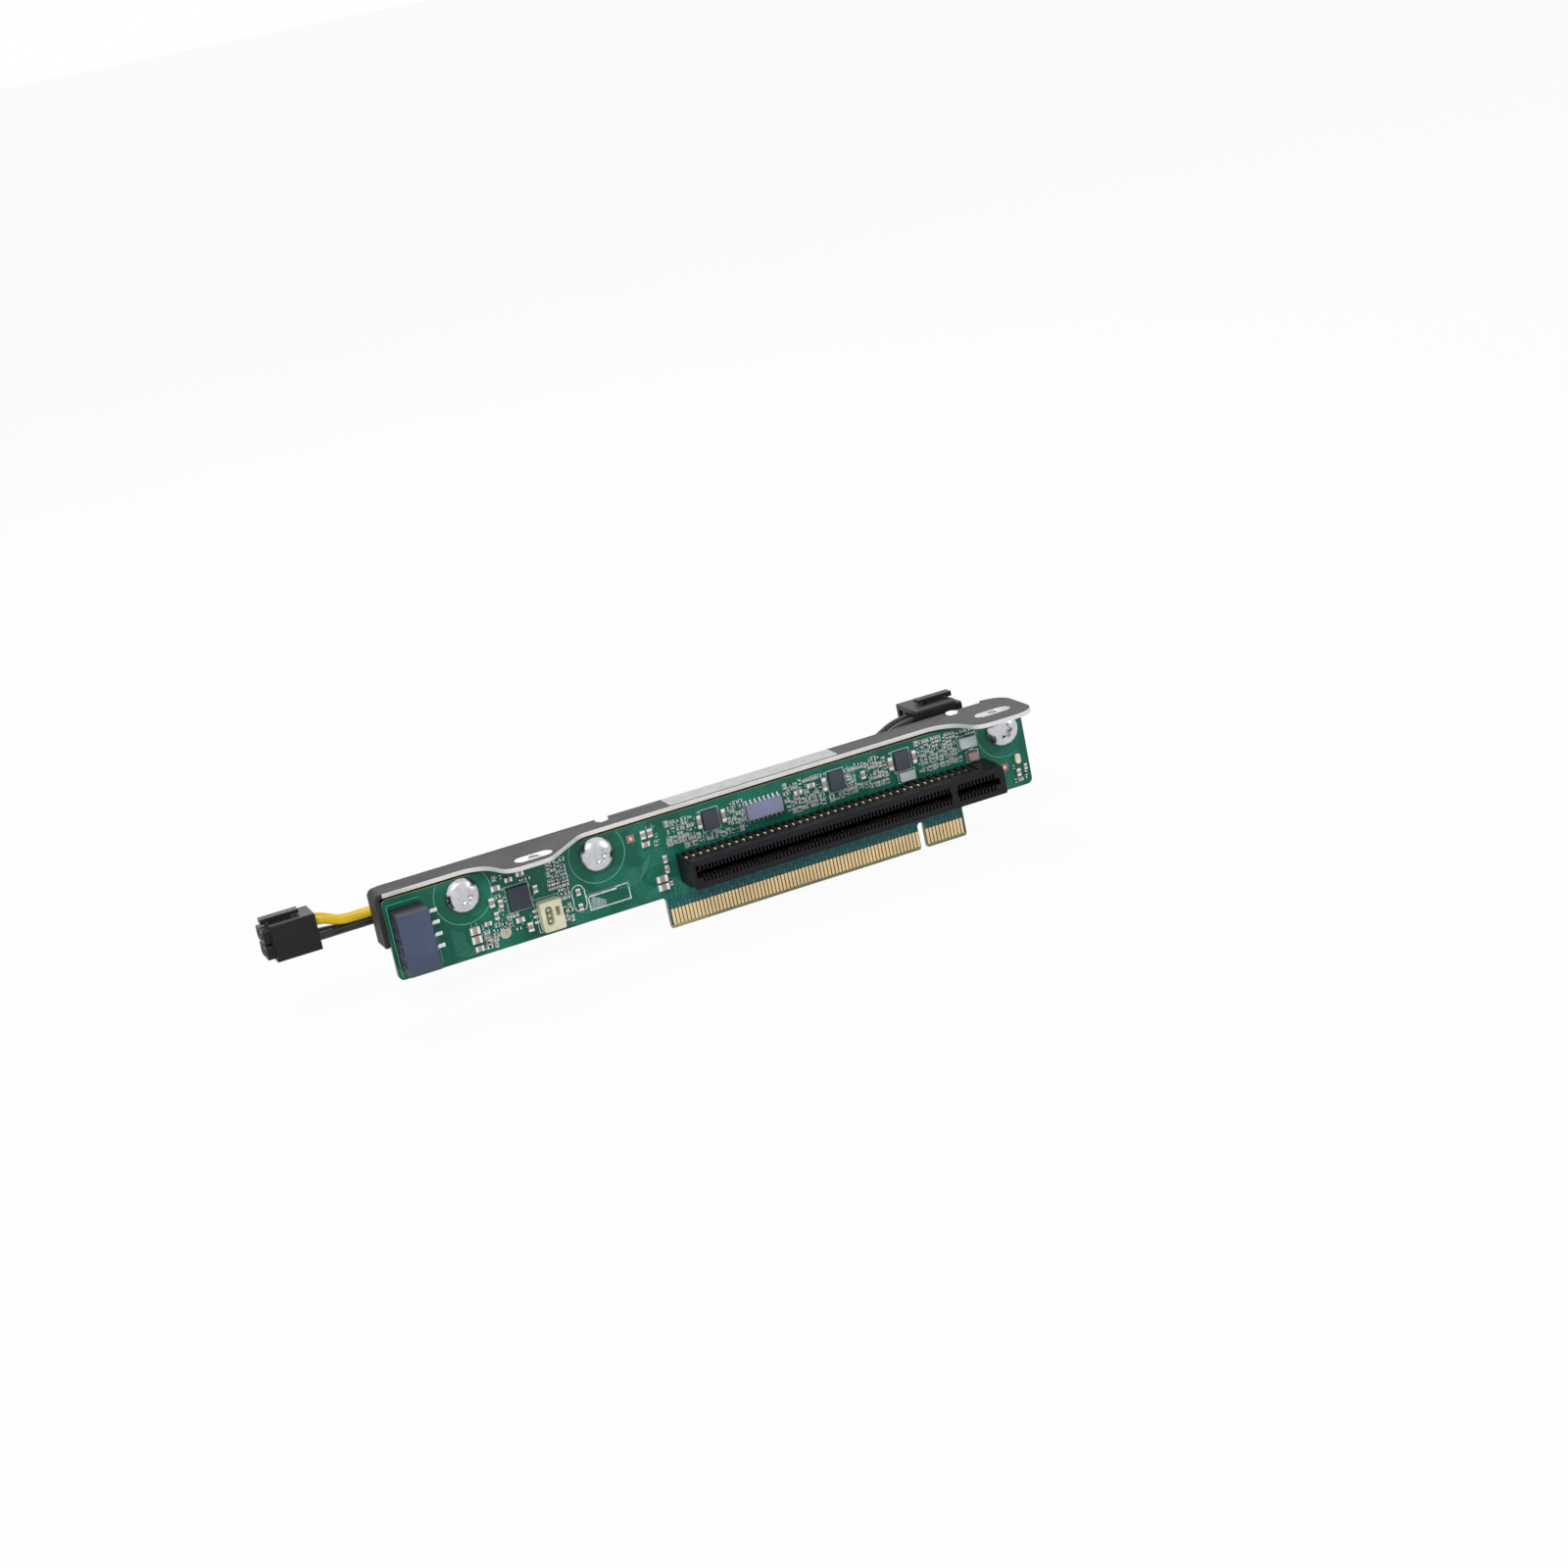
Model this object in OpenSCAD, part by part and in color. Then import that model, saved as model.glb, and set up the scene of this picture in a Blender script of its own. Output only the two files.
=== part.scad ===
// Server riser: a long circuit board with a card edge and an expansion slot,
// screwed to a folded sheet bracket that also carries a four-wire power lead.
//
// The shapes are drawn from the left end of the card edge: x runs along the
// board, y = 0 is the component face with the bracket behind it (+y), and
// z = 0 is the bottom of the card edge. datum() then moves everything so that
// the origin is the middle of the card edge, half way through the board.

/* [Board] */
// Reach of the board to the left of the card edge
board_left = 71.9; // [71.5:0.1:76]
// Reach of the board beyond the expansion slot's right end
board_end = 12.5; // [12:0.1:16]
// Height of the board above the expansion slot
band_h = 10.75; // [10.5:0.05:12]
// Height of the board's lower edge beside the card edge
shoulder_z = 8.6; // [8:0.1:9]
// Thickness of the board
board_t = 1.57; // [1.2:0.01:2]
// Radius of the board's outer corners
board_r = 1.5; // [0.5:0.1:3]

/* [Card edge] */
// Width of the card edge
edge_w = 85; // [85:0.05:85.5]
// Contact pitch
pitch = 1; // [1:0.001:1.002]
// Width of one contact pad
pad_w = 0.7; // [0.6:0.01:0.75]
// Height of one contact pad
pad_h = 4.7; // [4:0.1:5.5]
// Width of the key notch
notch_w = 1.9; // [1.8:0.05:2]
// Depth of the key notch
notch_h = 7.3; // [6.5:0.1:7.8]
// Left edge of the key notch
notch_x = 71.55; // [71.5:0.05:71.6]

/* [Expansion slot] */
// Length of the slot housing
slot_w = 89; // [88.5:0.1:89.5]
// Height of the slot housing across the slit
slot_h = 7.5; // [7.3:0.1:8]
// How far the housing stands off the board
slot_d = 11.25; // [10.5:0.05:12]
// Left end of the housing
slot_x = 5; // [4.8:0.1:5.2]
// Height of the slit's centre line
slot_z = 15.3; // [15.2:0.1:15.6]
// Width of the slit
slit_h = 1.9; // [1.8:0.1:2.1]
// Depth of the slit
slit_d = 8.6; // [7.6:0.1:9.2]
// Distance from the key bar to the housing's right end
key_end = 14.8; // [14.6:0.1:15]
// Diameter of the housing's locating pegs
peg_d = 2.2; // [1.8:0.1:2.4]

/* [Bracket] */
// Thickness of the sheet
sheet_t = 1.2; // [1:0.05:1.5]
// Gap between the board's top edge and the flange
flange_gap = 0.6; // [0.3:0.1:1]
// Depth of the flange between its lobes
flange_d = 10; // [9.5:0.1:12]
// How far the lobes reach out in front of the board
lobe_d = 12.3; // [11.5:0.1:14]
// Height of the rear web
web_h = 12.8; // [12:0.1:14]
// Height of the end wall
wall_h = 14; // [12:0.1:16]
// Outside radius of the folds
fold_r = 1.9; // [1.6:0.1:2.4]
// Length of the obround windows in the lobes
window_l = 10; // [8:0.1:11]
// Width of the obround windows
window_w = 4.6; // [4:0.1:5]
// Holes in the window inserts
insert_hole_d = 2.6; // [2.4:0.1:3]

/* [Fasteners] */
// Diameter of the screw heads
head_d = 9.2; // [8:0.1:9.6]
// Height of the screw heads
head_h = 2.4; // [2.2:0.1:3]
// Thread diameter of the screws
screw_d = 3; // [2.9:0.1:3.2]
// Play of the screws in the board's holes
hole_play = 0.4; // [0.3:0.1:0.8]
// Diameter of the standoffs
post_d = 6; // [5:0.1:7]

/* [Power lead] */
// Diameter of one wire
wire_d = 2.1; // [1.9:0.05:2.1]
// Pitch of the plug positions
plug_pitch = 4.2; // [4.1:0.05:4.4]
// Width of the two-by-two plug
plug_w = 9.6; // [9.4:0.1:10]
// Length of the plug bodies
plug_l = 13.6; // [13:0.1:15]

/* [Hidden] */

e = 0.01;
$fn = 32;

// Places that several parts share
slot_end = slot_x + slot_w;
slot_top = slot_z + slot_h / 2;
board_right = slot_end + board_end;
board_top = slot_top + band_h;
// Places on the board: on the left wing, between shoulder and top edge,
// along the slot, and in the band above the slot
function lx(t) = -board_left * t;
function hz(t) = shoulder_z + (board_top - shoulder_z) * t;
function sx(t) = slot_x + slot_w * t;
function bz(t) = slot_top + band_h * t;

flange_z = board_top + flange_gap + sheet_t;
wall_x = -board_left - 0.2 - sheet_t;
flange_x1 = board_right - 0.3;
web_y = flange_d;
web_x0 = wall_x + fold_r + 1;
web_x1 = board_right - 7.5;
hole_d = screw_d + hole_play;
screw_x = [lx(0.715), lx(0.214), board_right - 6.1];
screw_z = board_top - head_d / 2;
rivet_x = [lx(0.143), board_right - 16.6];
rivet_y = flange_d - 3.5;
window_at = [[lx(0.462), 5.4 - lobe_d], [board_right - 9.3, 8.9 - lobe_d]];
gold_t = 0.04;

// Contacts before a key at c and after it, as many as fit between a and b
function before(c, a) = [for (i = [0:floor((c - a - 1.2) / pitch) - 1]) c - (i + 1.5) * pitch];
function after(c, b) = [for (i = [0:floor((b - c - 1.2) / pitch) - 1]) c + (i + 1.5) * pitch];
notch_c = notch_x + notch_w / 2;
edge_xs = concat(before(notch_c, 0), after(notch_c, edge_w));

// The slot's cavities on both sides of its key bar
key_x = slot_end - key_end;
cell_x0 = slot_x + 1;
cell_x1 = slot_end - 1.6;
long_xs = before(key_x, slot_x + 1.7);
short_xs = after(key_x, slot_end - 2);
groove_w = 0.6;
groove_h = 1.3;
rib_pitch = 2;
ribs = floor((slot_w - 4.8) / rib_pitch);
peg_x = [slot_x + 1.9, key_x];
peg_gap = 0.1;

// Power lead: bundle position behind the web, and the plugs' centres
clip_t = 0.9;
bundle_y = web_y + clip_t + wire_d;
bundle_z = flange_z - 8.1;
left_c = [-board_left - 28.7, bundle_y, flange_z - 6.8];
right_c = [board_right - 24.5, bundle_y + 5, flange_z - 3];
// Where the wires leave the bundle for the plugs
left_run = left_c[0] + plug_l + 8;
right_run = right_c[0] - 22;
clip_x = [left_run + 35, right_run - 8];
silo = 2.6;

module datum() translate([-edge_w / 2, -board_t / 2, 0]) children();

// ---- general shapes ----
function unit(v) = v / norm(v);
function corner(a, b, c, n) = let (r = b[2], p = [b[0], b[1]],
        u = unit([a[0], a[1]] - p), v = unit([c[0], c[1]] - p),
        h = acos(u * v) / 2, m = p + unit(u + v) * r / sin(h),
        s = p + u * r / tan(h) - m, t = p + v * r / tan(h) - m,
        a0 = atan2(s[1], s[0]), da = (atan2(t[1], t[0]) - a0 + 540) % 360 - 180)
    r <= 0 ? [p] : [for (i = [0:n]) m + r * [cos(a0 + da * i / n), sin(a0 + da * i / n)]];
// Outline with rounded corners; each point is [x, y, radius]
function soft(q, n = 6) = let (k = len(q))
    [for (i = [0:k - 1]) each corner(q[(i + k - 1) % k], q[i], q[(i + 1) % k], n)];

// Box between two corners
module bar(a, b) translate(a) cube(b - a);
// Outline drawn in x and z, standing from y0 to y1
module upright(y0, y1) translate([0, y1, 0]) rotate([90, 0, 0]) linear_extrude(height = y1 - y0) children();
// Outline drawn in y and z, running from x0 to x1
module along(x0, x1) translate([x0, 0, 0]) rotate([90, 0, 90]) linear_extrude(height = x1 - x0) children();
// Round bar along y from y0 to y1
module pin(x, z, d, y0, y1) translate([x, y1, z]) rotate([90, 0, 0]) cylinder(d = d, h = y1 - y0);
module box2(x0, z0, x1, z1, r = 0) polygon(soft([[x0, z0, r], [x1, z0, r], [x1, z1, r], [x0, z1, r]], 4));
// Obround outline centred at the origin
module obround(w, h) polygon(soft([[-w / 2, -h / 2, h / 2 - e], [w / 2, -h / 2, h / 2 - e],
    [w / 2, h / 2, h / 2 - e], [-w / 2, h / 2, h / 2 - e]], 8));

// ---- bracket ----
lobe_x = window_at[0][0];
module flange_outline() polygon(soft([
    [wall_x + fold_r, 0, 0], [lobe_x - 12.2, 0, 8], [lobe_x - 8.4, -lobe_d, 4.6], [lobe_x + 2.8, -lobe_d, 4.6],
    [lobe_x + 14.6, 0, 5], [board_right - 21.3, 0, 9], [board_right - 17.7, -lobe_d, 4.6], [flange_x1, -lobe_d, 6],
    [flange_x1, web_y, 6.2], [web_x1 + 0.8, web_y, 0], [web_x1 + 0.8, web_y - fold_r, 0],
    [wall_x + fold_r, web_y - fold_r, 0]], 8));

module web_profile() polygon(soft([
    [web_y - fold_r - 0.5, flange_z, 0], [web_y, flange_z, fold_r], [web_y, flange_z - web_h, 0],
    [web_y - sheet_t, flange_z - web_h, 0], [web_y - sheet_t, flange_z - sheet_t, fold_r - sheet_t],
    [web_y - fold_r - 0.5, flange_z - sheet_t, 0]], 6));

module wall_profile() polygon(soft([
    [wall_x, flange_z - wall_h, 0], [wall_x, flange_z, fold_r], [wall_x + fold_r + 0.5, flange_z, 0],
    [wall_x + fold_r + 0.5, flange_z - sheet_t, 0], [wall_x + sheet_t, flange_z - sheet_t, fold_r - sheet_t],
    [wall_x + sheet_t, flange_z - wall_h, 0]], 6));

module bracket() color([0.30, 0.30, 0.31]) datum() difference() {
    union() {
        translate([0, 0, flange_z - sheet_t]) linear_extrude(height = sheet_t) flange_outline();
        along(web_x0, web_x1) web_profile();
        upright(0, web_y - fold_r) wall_profile();
        // tongue beside the web, behind the last screw
        upright(web_y - sheet_t, web_y) box2(web_x1 - 4, flange_z - web_h, screw_x[2] + 4,
            screw_z + 3.1, 1.5);
    }
    for (w = window_at) translate([w[0], w[1], flange_z - sheet_t - 1])
        linear_extrude(height = sheet_t + 2) obround(window_l, window_w);
    for (x = rivet_x) translate([x, rivet_y, flange_z - sheet_t - 1]) cylinder(d = 2, h = sheet_t + 2);
    for (x = screw_x) pin(x, screw_z, post_d - 1.8, web_y - sheet_t - 1, web_y + 1);
    for (x = clip_x) pin(x, bundle_z, 2.4, web_y - sheet_t - 1, web_y + 1);
}

// Pale inserts clinched into the windows, each with a locating hole
module window_inserts() color([0.78, 0.79, 0.79]) datum()
    for (w = window_at) translate([w[0], w[1], flange_z - sheet_t]) difference() {
        linear_extrude(height = sheet_t) obround(window_l, window_w);
        translate([0, 0, -1]) cylinder(d = insert_hole_d, h = sheet_t + 2);
    }

module flange_rivets() color([0.85, 0.85, 0.84]) datum()
    for (x = rivet_x) translate([x, rivet_y, flange_z]) rotate_extrude($fn = 16)
        polygon([[0, -sheet_t - 0.6], [1.5, -sheet_t - 0.6], [1.5, -sheet_t], [1, -sheet_t], [1, 0],
            [1.8, 0], [1.6, 0.35], [0, 0.7]]);

// Threaded posts pressed into the web
module standoffs() color([0.75, 0.75, 0.74]) datum()
    for (x = screw_x) difference() {
        union() {
            pin(x, screw_z, post_d, board_t, web_y - sheet_t);
            pin(x, screw_z, post_d - 1.8, web_y - sheet_t, web_y);
        }
        pin(x, screw_z, screw_d, board_t - 1, web_y + 1);
    }

// ---- board ----
module board_outline() polygon(concat(
    soft([[-board_left, board_top, board_r], [-board_left, shoulder_z, board_r],
        [0, shoulder_z, 1.2], [0, 0, 0.5], [notch_x, 0, 0.5], [notch_x, notch_h, notch_w / 2 - e],
        [notch_x + notch_w, notch_h, notch_w / 2 - e], [notch_x + notch_w, 0, 0.5],
        [edge_w, 0, 0.5], [edge_w, shoulder_z, 1.2], [board_right, shoulder_z, board_r],
        [board_right, board_top, board_r]], 5)));

module board() color([0.02, 0.36, 0.28]) datum() difference() {
    upright(0, board_t) board_outline();
    for (x = screw_x) pin(x, screw_z, hole_d, -1, board_t + 1);
    for (x = peg_x) pin(x, slot_z, peg_d + 2 * peg_gap, -1, board_t + 1);
    // lead-in chamfers along the card edge
    along(-1, edge_w + 1) polygon([[-1, -1], [0.35, -1], [0.35, 0], [0, 0.9], [-1, 0.9]]);
    along(-1, edge_w + 1) polygon([[board_t + 1, -1], [board_t - 0.35, -1], [board_t - 0.35, 0],
        [board_t, 0.9], [board_t + 1, 0.9]]);
}

module pads(y0, y1) for (x = edge_xs) bar([x - pad_w / 2, y0, 0.95], [x + pad_w / 2, y1, 0.45 + pad_h]);
module edge_contacts_front() color([0.92, 0.72, 0.42]) datum() pads(-gold_t, 0);
module edge_contacts_rear() color([0.92, 0.72, 0.42]) datum() pads(board_t, board_t + gold_t);

// ---- expansion slot ----
// One row of teeth along a line from xs, running up from za to zb
function teeth(xs, za, zb) = [for (x = xs) each
    [[x - groove_w / 2, za], [x - groove_w / 2, zb], [x + groove_w / 2, zb], [x + groove_w / 2, za]]];
function flip(q) = [for (i = [len(q) - 1:-1:0]) q[i]];
function cavity(xs, x0, x1) = let (h = slit_h / 2, up = [for (i = [0:len(xs) - 1]) min(xs) + i * pitch])
    concat([[x0, slot_z - h], [x0, slot_z + h]], teeth(up, slot_z + h, slot_z + h + groove_h),
        [[x1, slot_z + h], [x1, slot_z - h]], flip(teeth(up, slot_z - h, slot_z - h - groove_h)));
function flank(side) = let (z = slot_z + side * slot_h / 2, f = z - side * 0.5)
    [for (i = [0:ribs - 1]) each let (x = slot_x + 0.7 + rib_pitch * i)
        [[x, z], [x, f], [x + rib_pitch / 2, f], [x + rib_pitch / 2, z]]];

module slot_housing() color([0.05, 0.05, 0.06]) datum() difference() {
    union() {
        // collar at the mouth, ribbed flanks behind it
        upright(-slot_d, -slot_d + 3.4) box2(slot_x, slot_z - slot_h / 2, slot_end, slot_z + slot_h / 2, 0.5);
        upright(-slot_d + 3.4 - e, 0) polygon(concat(
            [[slot_x, slot_z - slot_h / 2], [slot_x, slot_top]], flank(1),
            [[slot_end, slot_top], [slot_end, slot_z - slot_h / 2]], flip(flank(-1))));
        // locating pegs through the board
        for (x = peg_x) pin(x, slot_z, peg_d, -e, board_t + 0.4);
    }
    upright(-slot_d - 1, -slot_d + slit_d) polygon(cavity(long_xs, cell_x0, key_x - 0.8));
    upright(-slot_d - 1, -slot_d + slit_d) polygon(cavity(short_xs, key_x + 0.8, cell_x1));
    // small square relief at the left of the mouth
    bar([slot_x + 0.9, -slot_d - 1, slot_z + 1.1], [slot_x + 1.9, -slot_d + 2, slot_z + 2.5]);
}

// Spring contacts on both sides of the slit, bowed towards the card
module slot_contacts() color([0.85, 0.65, 0.35]) datum()
    for (x = concat(long_xs, short_xs)) for (s = [-1, 1]) let (z = slot_z + s * (slit_h / 2 + groove_h))
        along(x - 0.25, x + 0.25) polygon([[-slot_d + 1.2, z], [-slot_d + 3, z - s * 1.1], [-slot_d + slit_d, z]]);

// Contact shoulders showing in the housing's flanks
module slot_side_tips() color([0.80, 0.70, 0.45]) datum()
    for (i = [0:ribs - 2]) for (s = [-1, 1]) let (x = slot_x + 0.7 + rib_pitch * (i + 0.25), z = slot_z + s * (slot_h / 2 - 0.5))
        along(x - 0.3, x + 0.3) polygon([[-4.9, z], [-4.3, z + s * 0.35], [-4.1, z]]);

// ---- fasteners ----
function star(r, a) = [for (i = [0:23]) let (t = i * 15) (r + a * cos(6 * t)) * [cos(t), sin(t)]];
// Domed head and shank in one profile, from the board's face outwards
module mounting_screws() color([0.86, 0.87, 0.88]) datum()
    for (x = screw_x) translate([x, 0, screw_z]) rotate([90, 0, 0]) difference() {
        rotate_extrude($fn = 28) polygon(concat([[0, -board_t - 5], [screw_d / 2, -board_t - 5],
            [screw_d / 2, 0], [head_d / 2 - 0.2, 0], [head_d / 2, 0.2]],
            [for (t = [10:20:90]) [head_d / 2 * cos(t), 0.2 + (head_h - 0.2) * sin(t)]]));
        translate([0, 0, head_h - 1.5]) linear_extrude(height = 3) polygon(star(1.85, 0.35));
    }

// ---- headers ----
ph = [-board_left + 1.2, -8.5, board_top - 18.6];
ph_size = [8.5, 8.5, 16];
ph_pitch = 3.15;
module power_header() color([0.27, 0.31, 0.42]) datum() difference() {
    translate([ph[0], 0, ph[2]]) translate([0, -ph_size[1], 0]) linear_extrude(height = ph_size[2])
        polygon(soft([[0, 0, 0.6], [ph_size[0], 0, 0.6], [ph_size[0], ph_size[1], 0], [0, ph_size[1], 0]], 4));
    for (i = [0:3]) for (y = [-6.2, -2.9]) translate([ph[0] - 1, y, ph[2] + ph_size[2] / 2 + (i - 1.5) * ph_pitch])
        bar([0, -1.2, -1.2], [7.2, 1.2, 1.2]);
}
module power_header_pins() color([0.85, 0.86, 0.86]) datum() for (i = [0:3])
    let (z = ph[2] + ph_size[2] / 2 + (i - 1.5) * ph_pitch, x = ph[0] + ph_size[0]) {
        for (y = [-6.2, -2.9]) bar([ph[0] + 1.6, y - 0.35, z - 0.35], [ph[0] + 6.2, y + 0.35, z + 0.35]);
        translate([0, 0, z - 0.5]) linear_extrude(height = 1) polygon([[x, -1.9], [x + 1.3, -1.9],
            [x + 1.9, -0.45], [x + 3.6, -0.45], [x + 3.6, 0], [x + 1.5, 0], [x + 0.9, -1.4], [x, -1.4]]);
    }

wh = [lx(0.469), -3.4, shoulder_z + 1.6];
wh_size = [5.8, 3.4, 7.8];
module wafer_header() color([0.86, 0.84, 0.72]) datum() difference() {
    upright(-wh_size[1], 0) box2(wh[0], wh[2], wh[0] + wh_size[0], wh[2] + wh_size[2], 0.5);
    translate([wh[0] + 2.1, 0, wh[2] + 4]) upright(-wh_size[1] - 1, -0.7) rotate(90) obround(5.2, 2);
    bar([wh[0] + 3.9, -wh_size[1] - 1, wh[2] + 3.6], [wh[0] + 5, -1.4, wh[2] + 6]);
}
module wafer_header_pins() color([0.82, 0.82, 0.80]) datum() for (i = [0:2])
    let (z = wh[2] + 4 + (i - 1) * 1.5) {
        bar([wh[0] + 1.8, -2.8, z - 0.25], [wh[0] + 2.4, -0.7, z + 0.25]);
        bar([wh[0] - 1.3, -0.35, z - 0.3], [wh[0], 0, z + 0.3]);
    }

// ---- chips ----
module chip(x, z, w, h, t) upright(-t, 0) box2(x - w / 2, z - h / 2, x + w / 2, z + h / 2, 0.25);
module controller_chip() color([0.12, 0.13, 0.17]) datum() chip(lx(0.524), hz(0.557), 5.4, 6, 1);
module buffer_chip_left() color([0.17, 0.17, 0.22]) datum() chip(sx(0.124), bz(0.572), 4.1, 5, 0.9);
module buffer_chip_middle() color([0.17, 0.17, 0.22]) datum() chip(sx(0.526), bz(0.572), 4.1, 5, 0.9);
module buffer_chip_right() color([0.17, 0.17, 0.22]) datum() chip(sx(0.739), bz(0.572), 4.1, 5, 0.9);

dc = [sx(0.289), bz(0.46)];
module driver_chip() color([0.40, 0.41, 0.52]) datum()
    translate([0, -0.15, 0]) chip(dc[0], dc[1], 9.9, 3.9, 1.5);
module gull(h) linear_extrude(height = h) polygon([[0, 0.75], [0.35, 0.75], [0.6, 0.15],
    [1.1, 0.15], [1.1, 0], [0.45, 0], [0.2, 0.6], [0, 0.6]]);
module legs(x, z, half, n, p, w) for (i = [0:n - 1]) for (s = [-1, 1])
    translate([x + (i - (n - 1) / 2) * p, 0, z]) mirror([0, 0, s < 0 ? 1 : 0])
        translate([w / 2, 0, half]) rotate([0, -90, 0]) mirror([0, 1, 0]) gull(w);
module driver_chip_legs() color([0.84, 0.86, 0.86]) datum() legs(dc[0], dc[1], 1.95, 8, 1.27, 0.42);

// ---- small parts: [place along, place up, upright?, length, width, height] ----
left_caps = [
    [0.704, 0.33, 0, 2.6, 1.9, 1.1], [0.704, 0.217, 0, 2.6, 1.9, 1.1], [0.701, 0.099, 0, 2.2, 1.4, 0.9],
    [0.652, 0.363, 0, 1.8, 1.1, 0.8], [0.616, 0.425, 1, 2, 1.2, 0.8], [0.592, 0.557, 1, 2, 1.2, 0.8],
    [0.623, 0.599, 1, 2.4, 1.4, 0.9], [0.599, 0.755, 0, 2.4, 1.4, 0.9], [0.547, 0.811, 0, 2, 1.2, 0.8],
    [0.502, 0.84, 0, 2, 1.2, 0.8], [0.46, 0.604, 1, 2, 1.2, 0.8], [0.537, 0.288, 0, 2.2, 1.3, 0.8],
    [0.506, 0.17, 1, 2.4, 1.5, 0.9], [0.312, 0.406, 1, 1.8, 1.2, 0.8], [0.313, 0.217, 1, 1.8, 1.2, 0.8],
    [0.036, 0.849, 1, 2.2, 1.4, 0.9], [0.01, 0.849, 1, 2.2, 1.4, 0.9], [0.033, 0.726, 0, 2.2, 1.3, 0.9],
    [-0.026, 0.476, 1, 2, 1.2, 0.8], [-0.026, 0.349, 1, 2, 1.2, 0.8], [0.001, 0.25, 0, 3, 1.7, 1],
    [0.001, 0.146, 0, 3, 1.7, 1]];
slot_caps = [
    [0.088, 0.591, 1, 3.6, 1.1, 0.8], [0.164, 0.572, 1, 3.6, 1.1, 0.8], [0.485, 0.572, 1, 3.6, 1.2, 0.8],
    [0.7, 0.572, 1, 3.6, 1.2, 0.8], [0.778, 0.572, 1, 3.6, 1.1, 0.8], [1.099, -0.6, 1, 2, 1.1, 0.8],
    [1.124, -0.507, 1, 1.6, 0.9, 0.6], [0.4, 0.572, 0, 2.2, 1.3, 0.9], [0.443, 0.647, 0, 2.2, 1.3, 0.9],
    [0.609, 0.516, 1, 2.2, 1.3, 0.9]];
caps = concat([for (c = left_caps) [lx(c[0]), hz(c[1]), c[2], c[3], c[4], c[5]]],
    [for (c = slot_caps) [sx(c[0]), bz(c[1]), c[2], c[3], c[4], c[5]]]);
cap_end = 0.28;
module part_box(c, a, b) translate([c[0], 0, c[1]]) rotate([0, c[2] == 1 ? -90 : 0, 0])
    bar([a, -c[5], -c[4] / 2], [b, 0, c[4] / 2]);
module capacitor_bodies() color([0.62, 0.56, 0.48]) datum()
    for (c = caps) part_box(c, -c[3] * (0.5 - cap_end), c[3] * (0.5 - cap_end));
module capacitor_ends() color([0.84, 0.86, 0.87]) datum() for (c = caps) {
    part_box(c, -c[3] / 2, -c[3] * (0.5 - cap_end));
    part_box(c, c[3] * (0.5 - cap_end), c[3] / 2);
}

module power_inductor() color([0.72, 0.75, 0.76]) datum() chip(sx(0.746), bz(0.163), 4.2, 2.3, 1.1);
module filter_block() color([0.75, 0.80, 0.80]) datum() chip(sx(0.954), bz(0.535), 4.6, 2.8, 1.2);
module tan_capacitor() color([0.66, 0.50, 0.50]) datum() chip(sx(0.964), bz(0.144), 2.6, 2.1, 1.1);
module status_light() color([0.90, 0.88, 0.78]) datum()
    translate([sx(1.103), 0, bz(-0.247)]) upright(-0.9, 0) rotate(90) obround(2.8, 1.5);

// ---- power lead ----
// Ring of eight points round p, square to the direction d
function ring(p, d, r) = let (s = unit(cross(d, [0, 0, 1])), t = cross(s, d))
    [for (i = [0:7]) let (a = 22.5 + 45 * i) p + r / cos(22.5) * (s * cos(a) + t * sin(a))];
function facing(q, i) = unit(i == 0 ? q[1] - q[0] : i == len(q) - 1 ? q[i] - q[i - 1] : q[i + 1] - q[i - 1]);
module tube(q, d) {
    n = len(q);
    polyhedron(points = [for (i = [0:n - 1]) each ring(q[i], facing(q, i), d / 2)],
        faces = concat([[for (i = [0:7]) i]], [[for (i = [7:-1:0]) (n - 1) * 8 + i]],
            [for (k = [0:n - 2]) for (i = [0:7]) [k * 8 + i, (k + 1) * 8 + i, (k + 1) * 8 + (i + 1) % 8, k * 8 + (i + 1) % 8]]));
}
// Smooth step from 0 to 1
function ease(t) = t * t * (3 - 2 * t);
function mix(a, b, t) = a * (1 - t) + b * t;
// One wire's route: plug position a at the left, place b in the bundle, plug position c at the right
function route(a, b, c) = concat(
    [[left_c[0] + 8, a[0], a[1]], [left_c[0] + plug_l + 0.4, a[0], a[1]]],
    [for (t = [0.25, 0.5, 0.75]) let (m = mix(a, b, ease(t))) [mix(left_c[0] + plug_l + 0.4, left_run, t), m[0], m[1]]],
    [for (x = [left_run, left_run + 5, clip_x[0], lx(0.2), sx(0.2), clip_x[1], right_run]) [x, b[0], b[1]]],
    [for (t = [0.2, 0.4, 0.6, 0.8]) let (m = mix(b, c, ease(t))) [mix(right_run, right_c[0] - 1.5, t), m[0], m[1]]],
    [[right_c[0] - 1.5, c[0], c[1]], [right_c[0] + 5.6, c[0], c[1]]]);
function at(c, i, j) = [c[1] + i * plug_pitch, c[2] + j * plug_pitch];
function seat(i, j) = [bundle_y + i * wire_d / 2, bundle_z + j * wire_d / 2];

module wire(i, j) tube(route(at(left_c, i / 2, j / 2), seat(i, j), at(right_c, (i - 1) / 2, j / 2)), wire_d);
module wire_yellow_upper() color([0.98, 0.80, 0.05]) datum() wire(-1, 1);
module wire_yellow_rear() color([0.98, 0.80, 0.05]) datum() wire(1, 1);
module wire_black_lower() color([0.05, 0.05, 0.05]) datum() wire(-1, -1);
module wire_black_rear() color([0.05, 0.05, 0.05]) datum() wire(1, -1);

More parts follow.
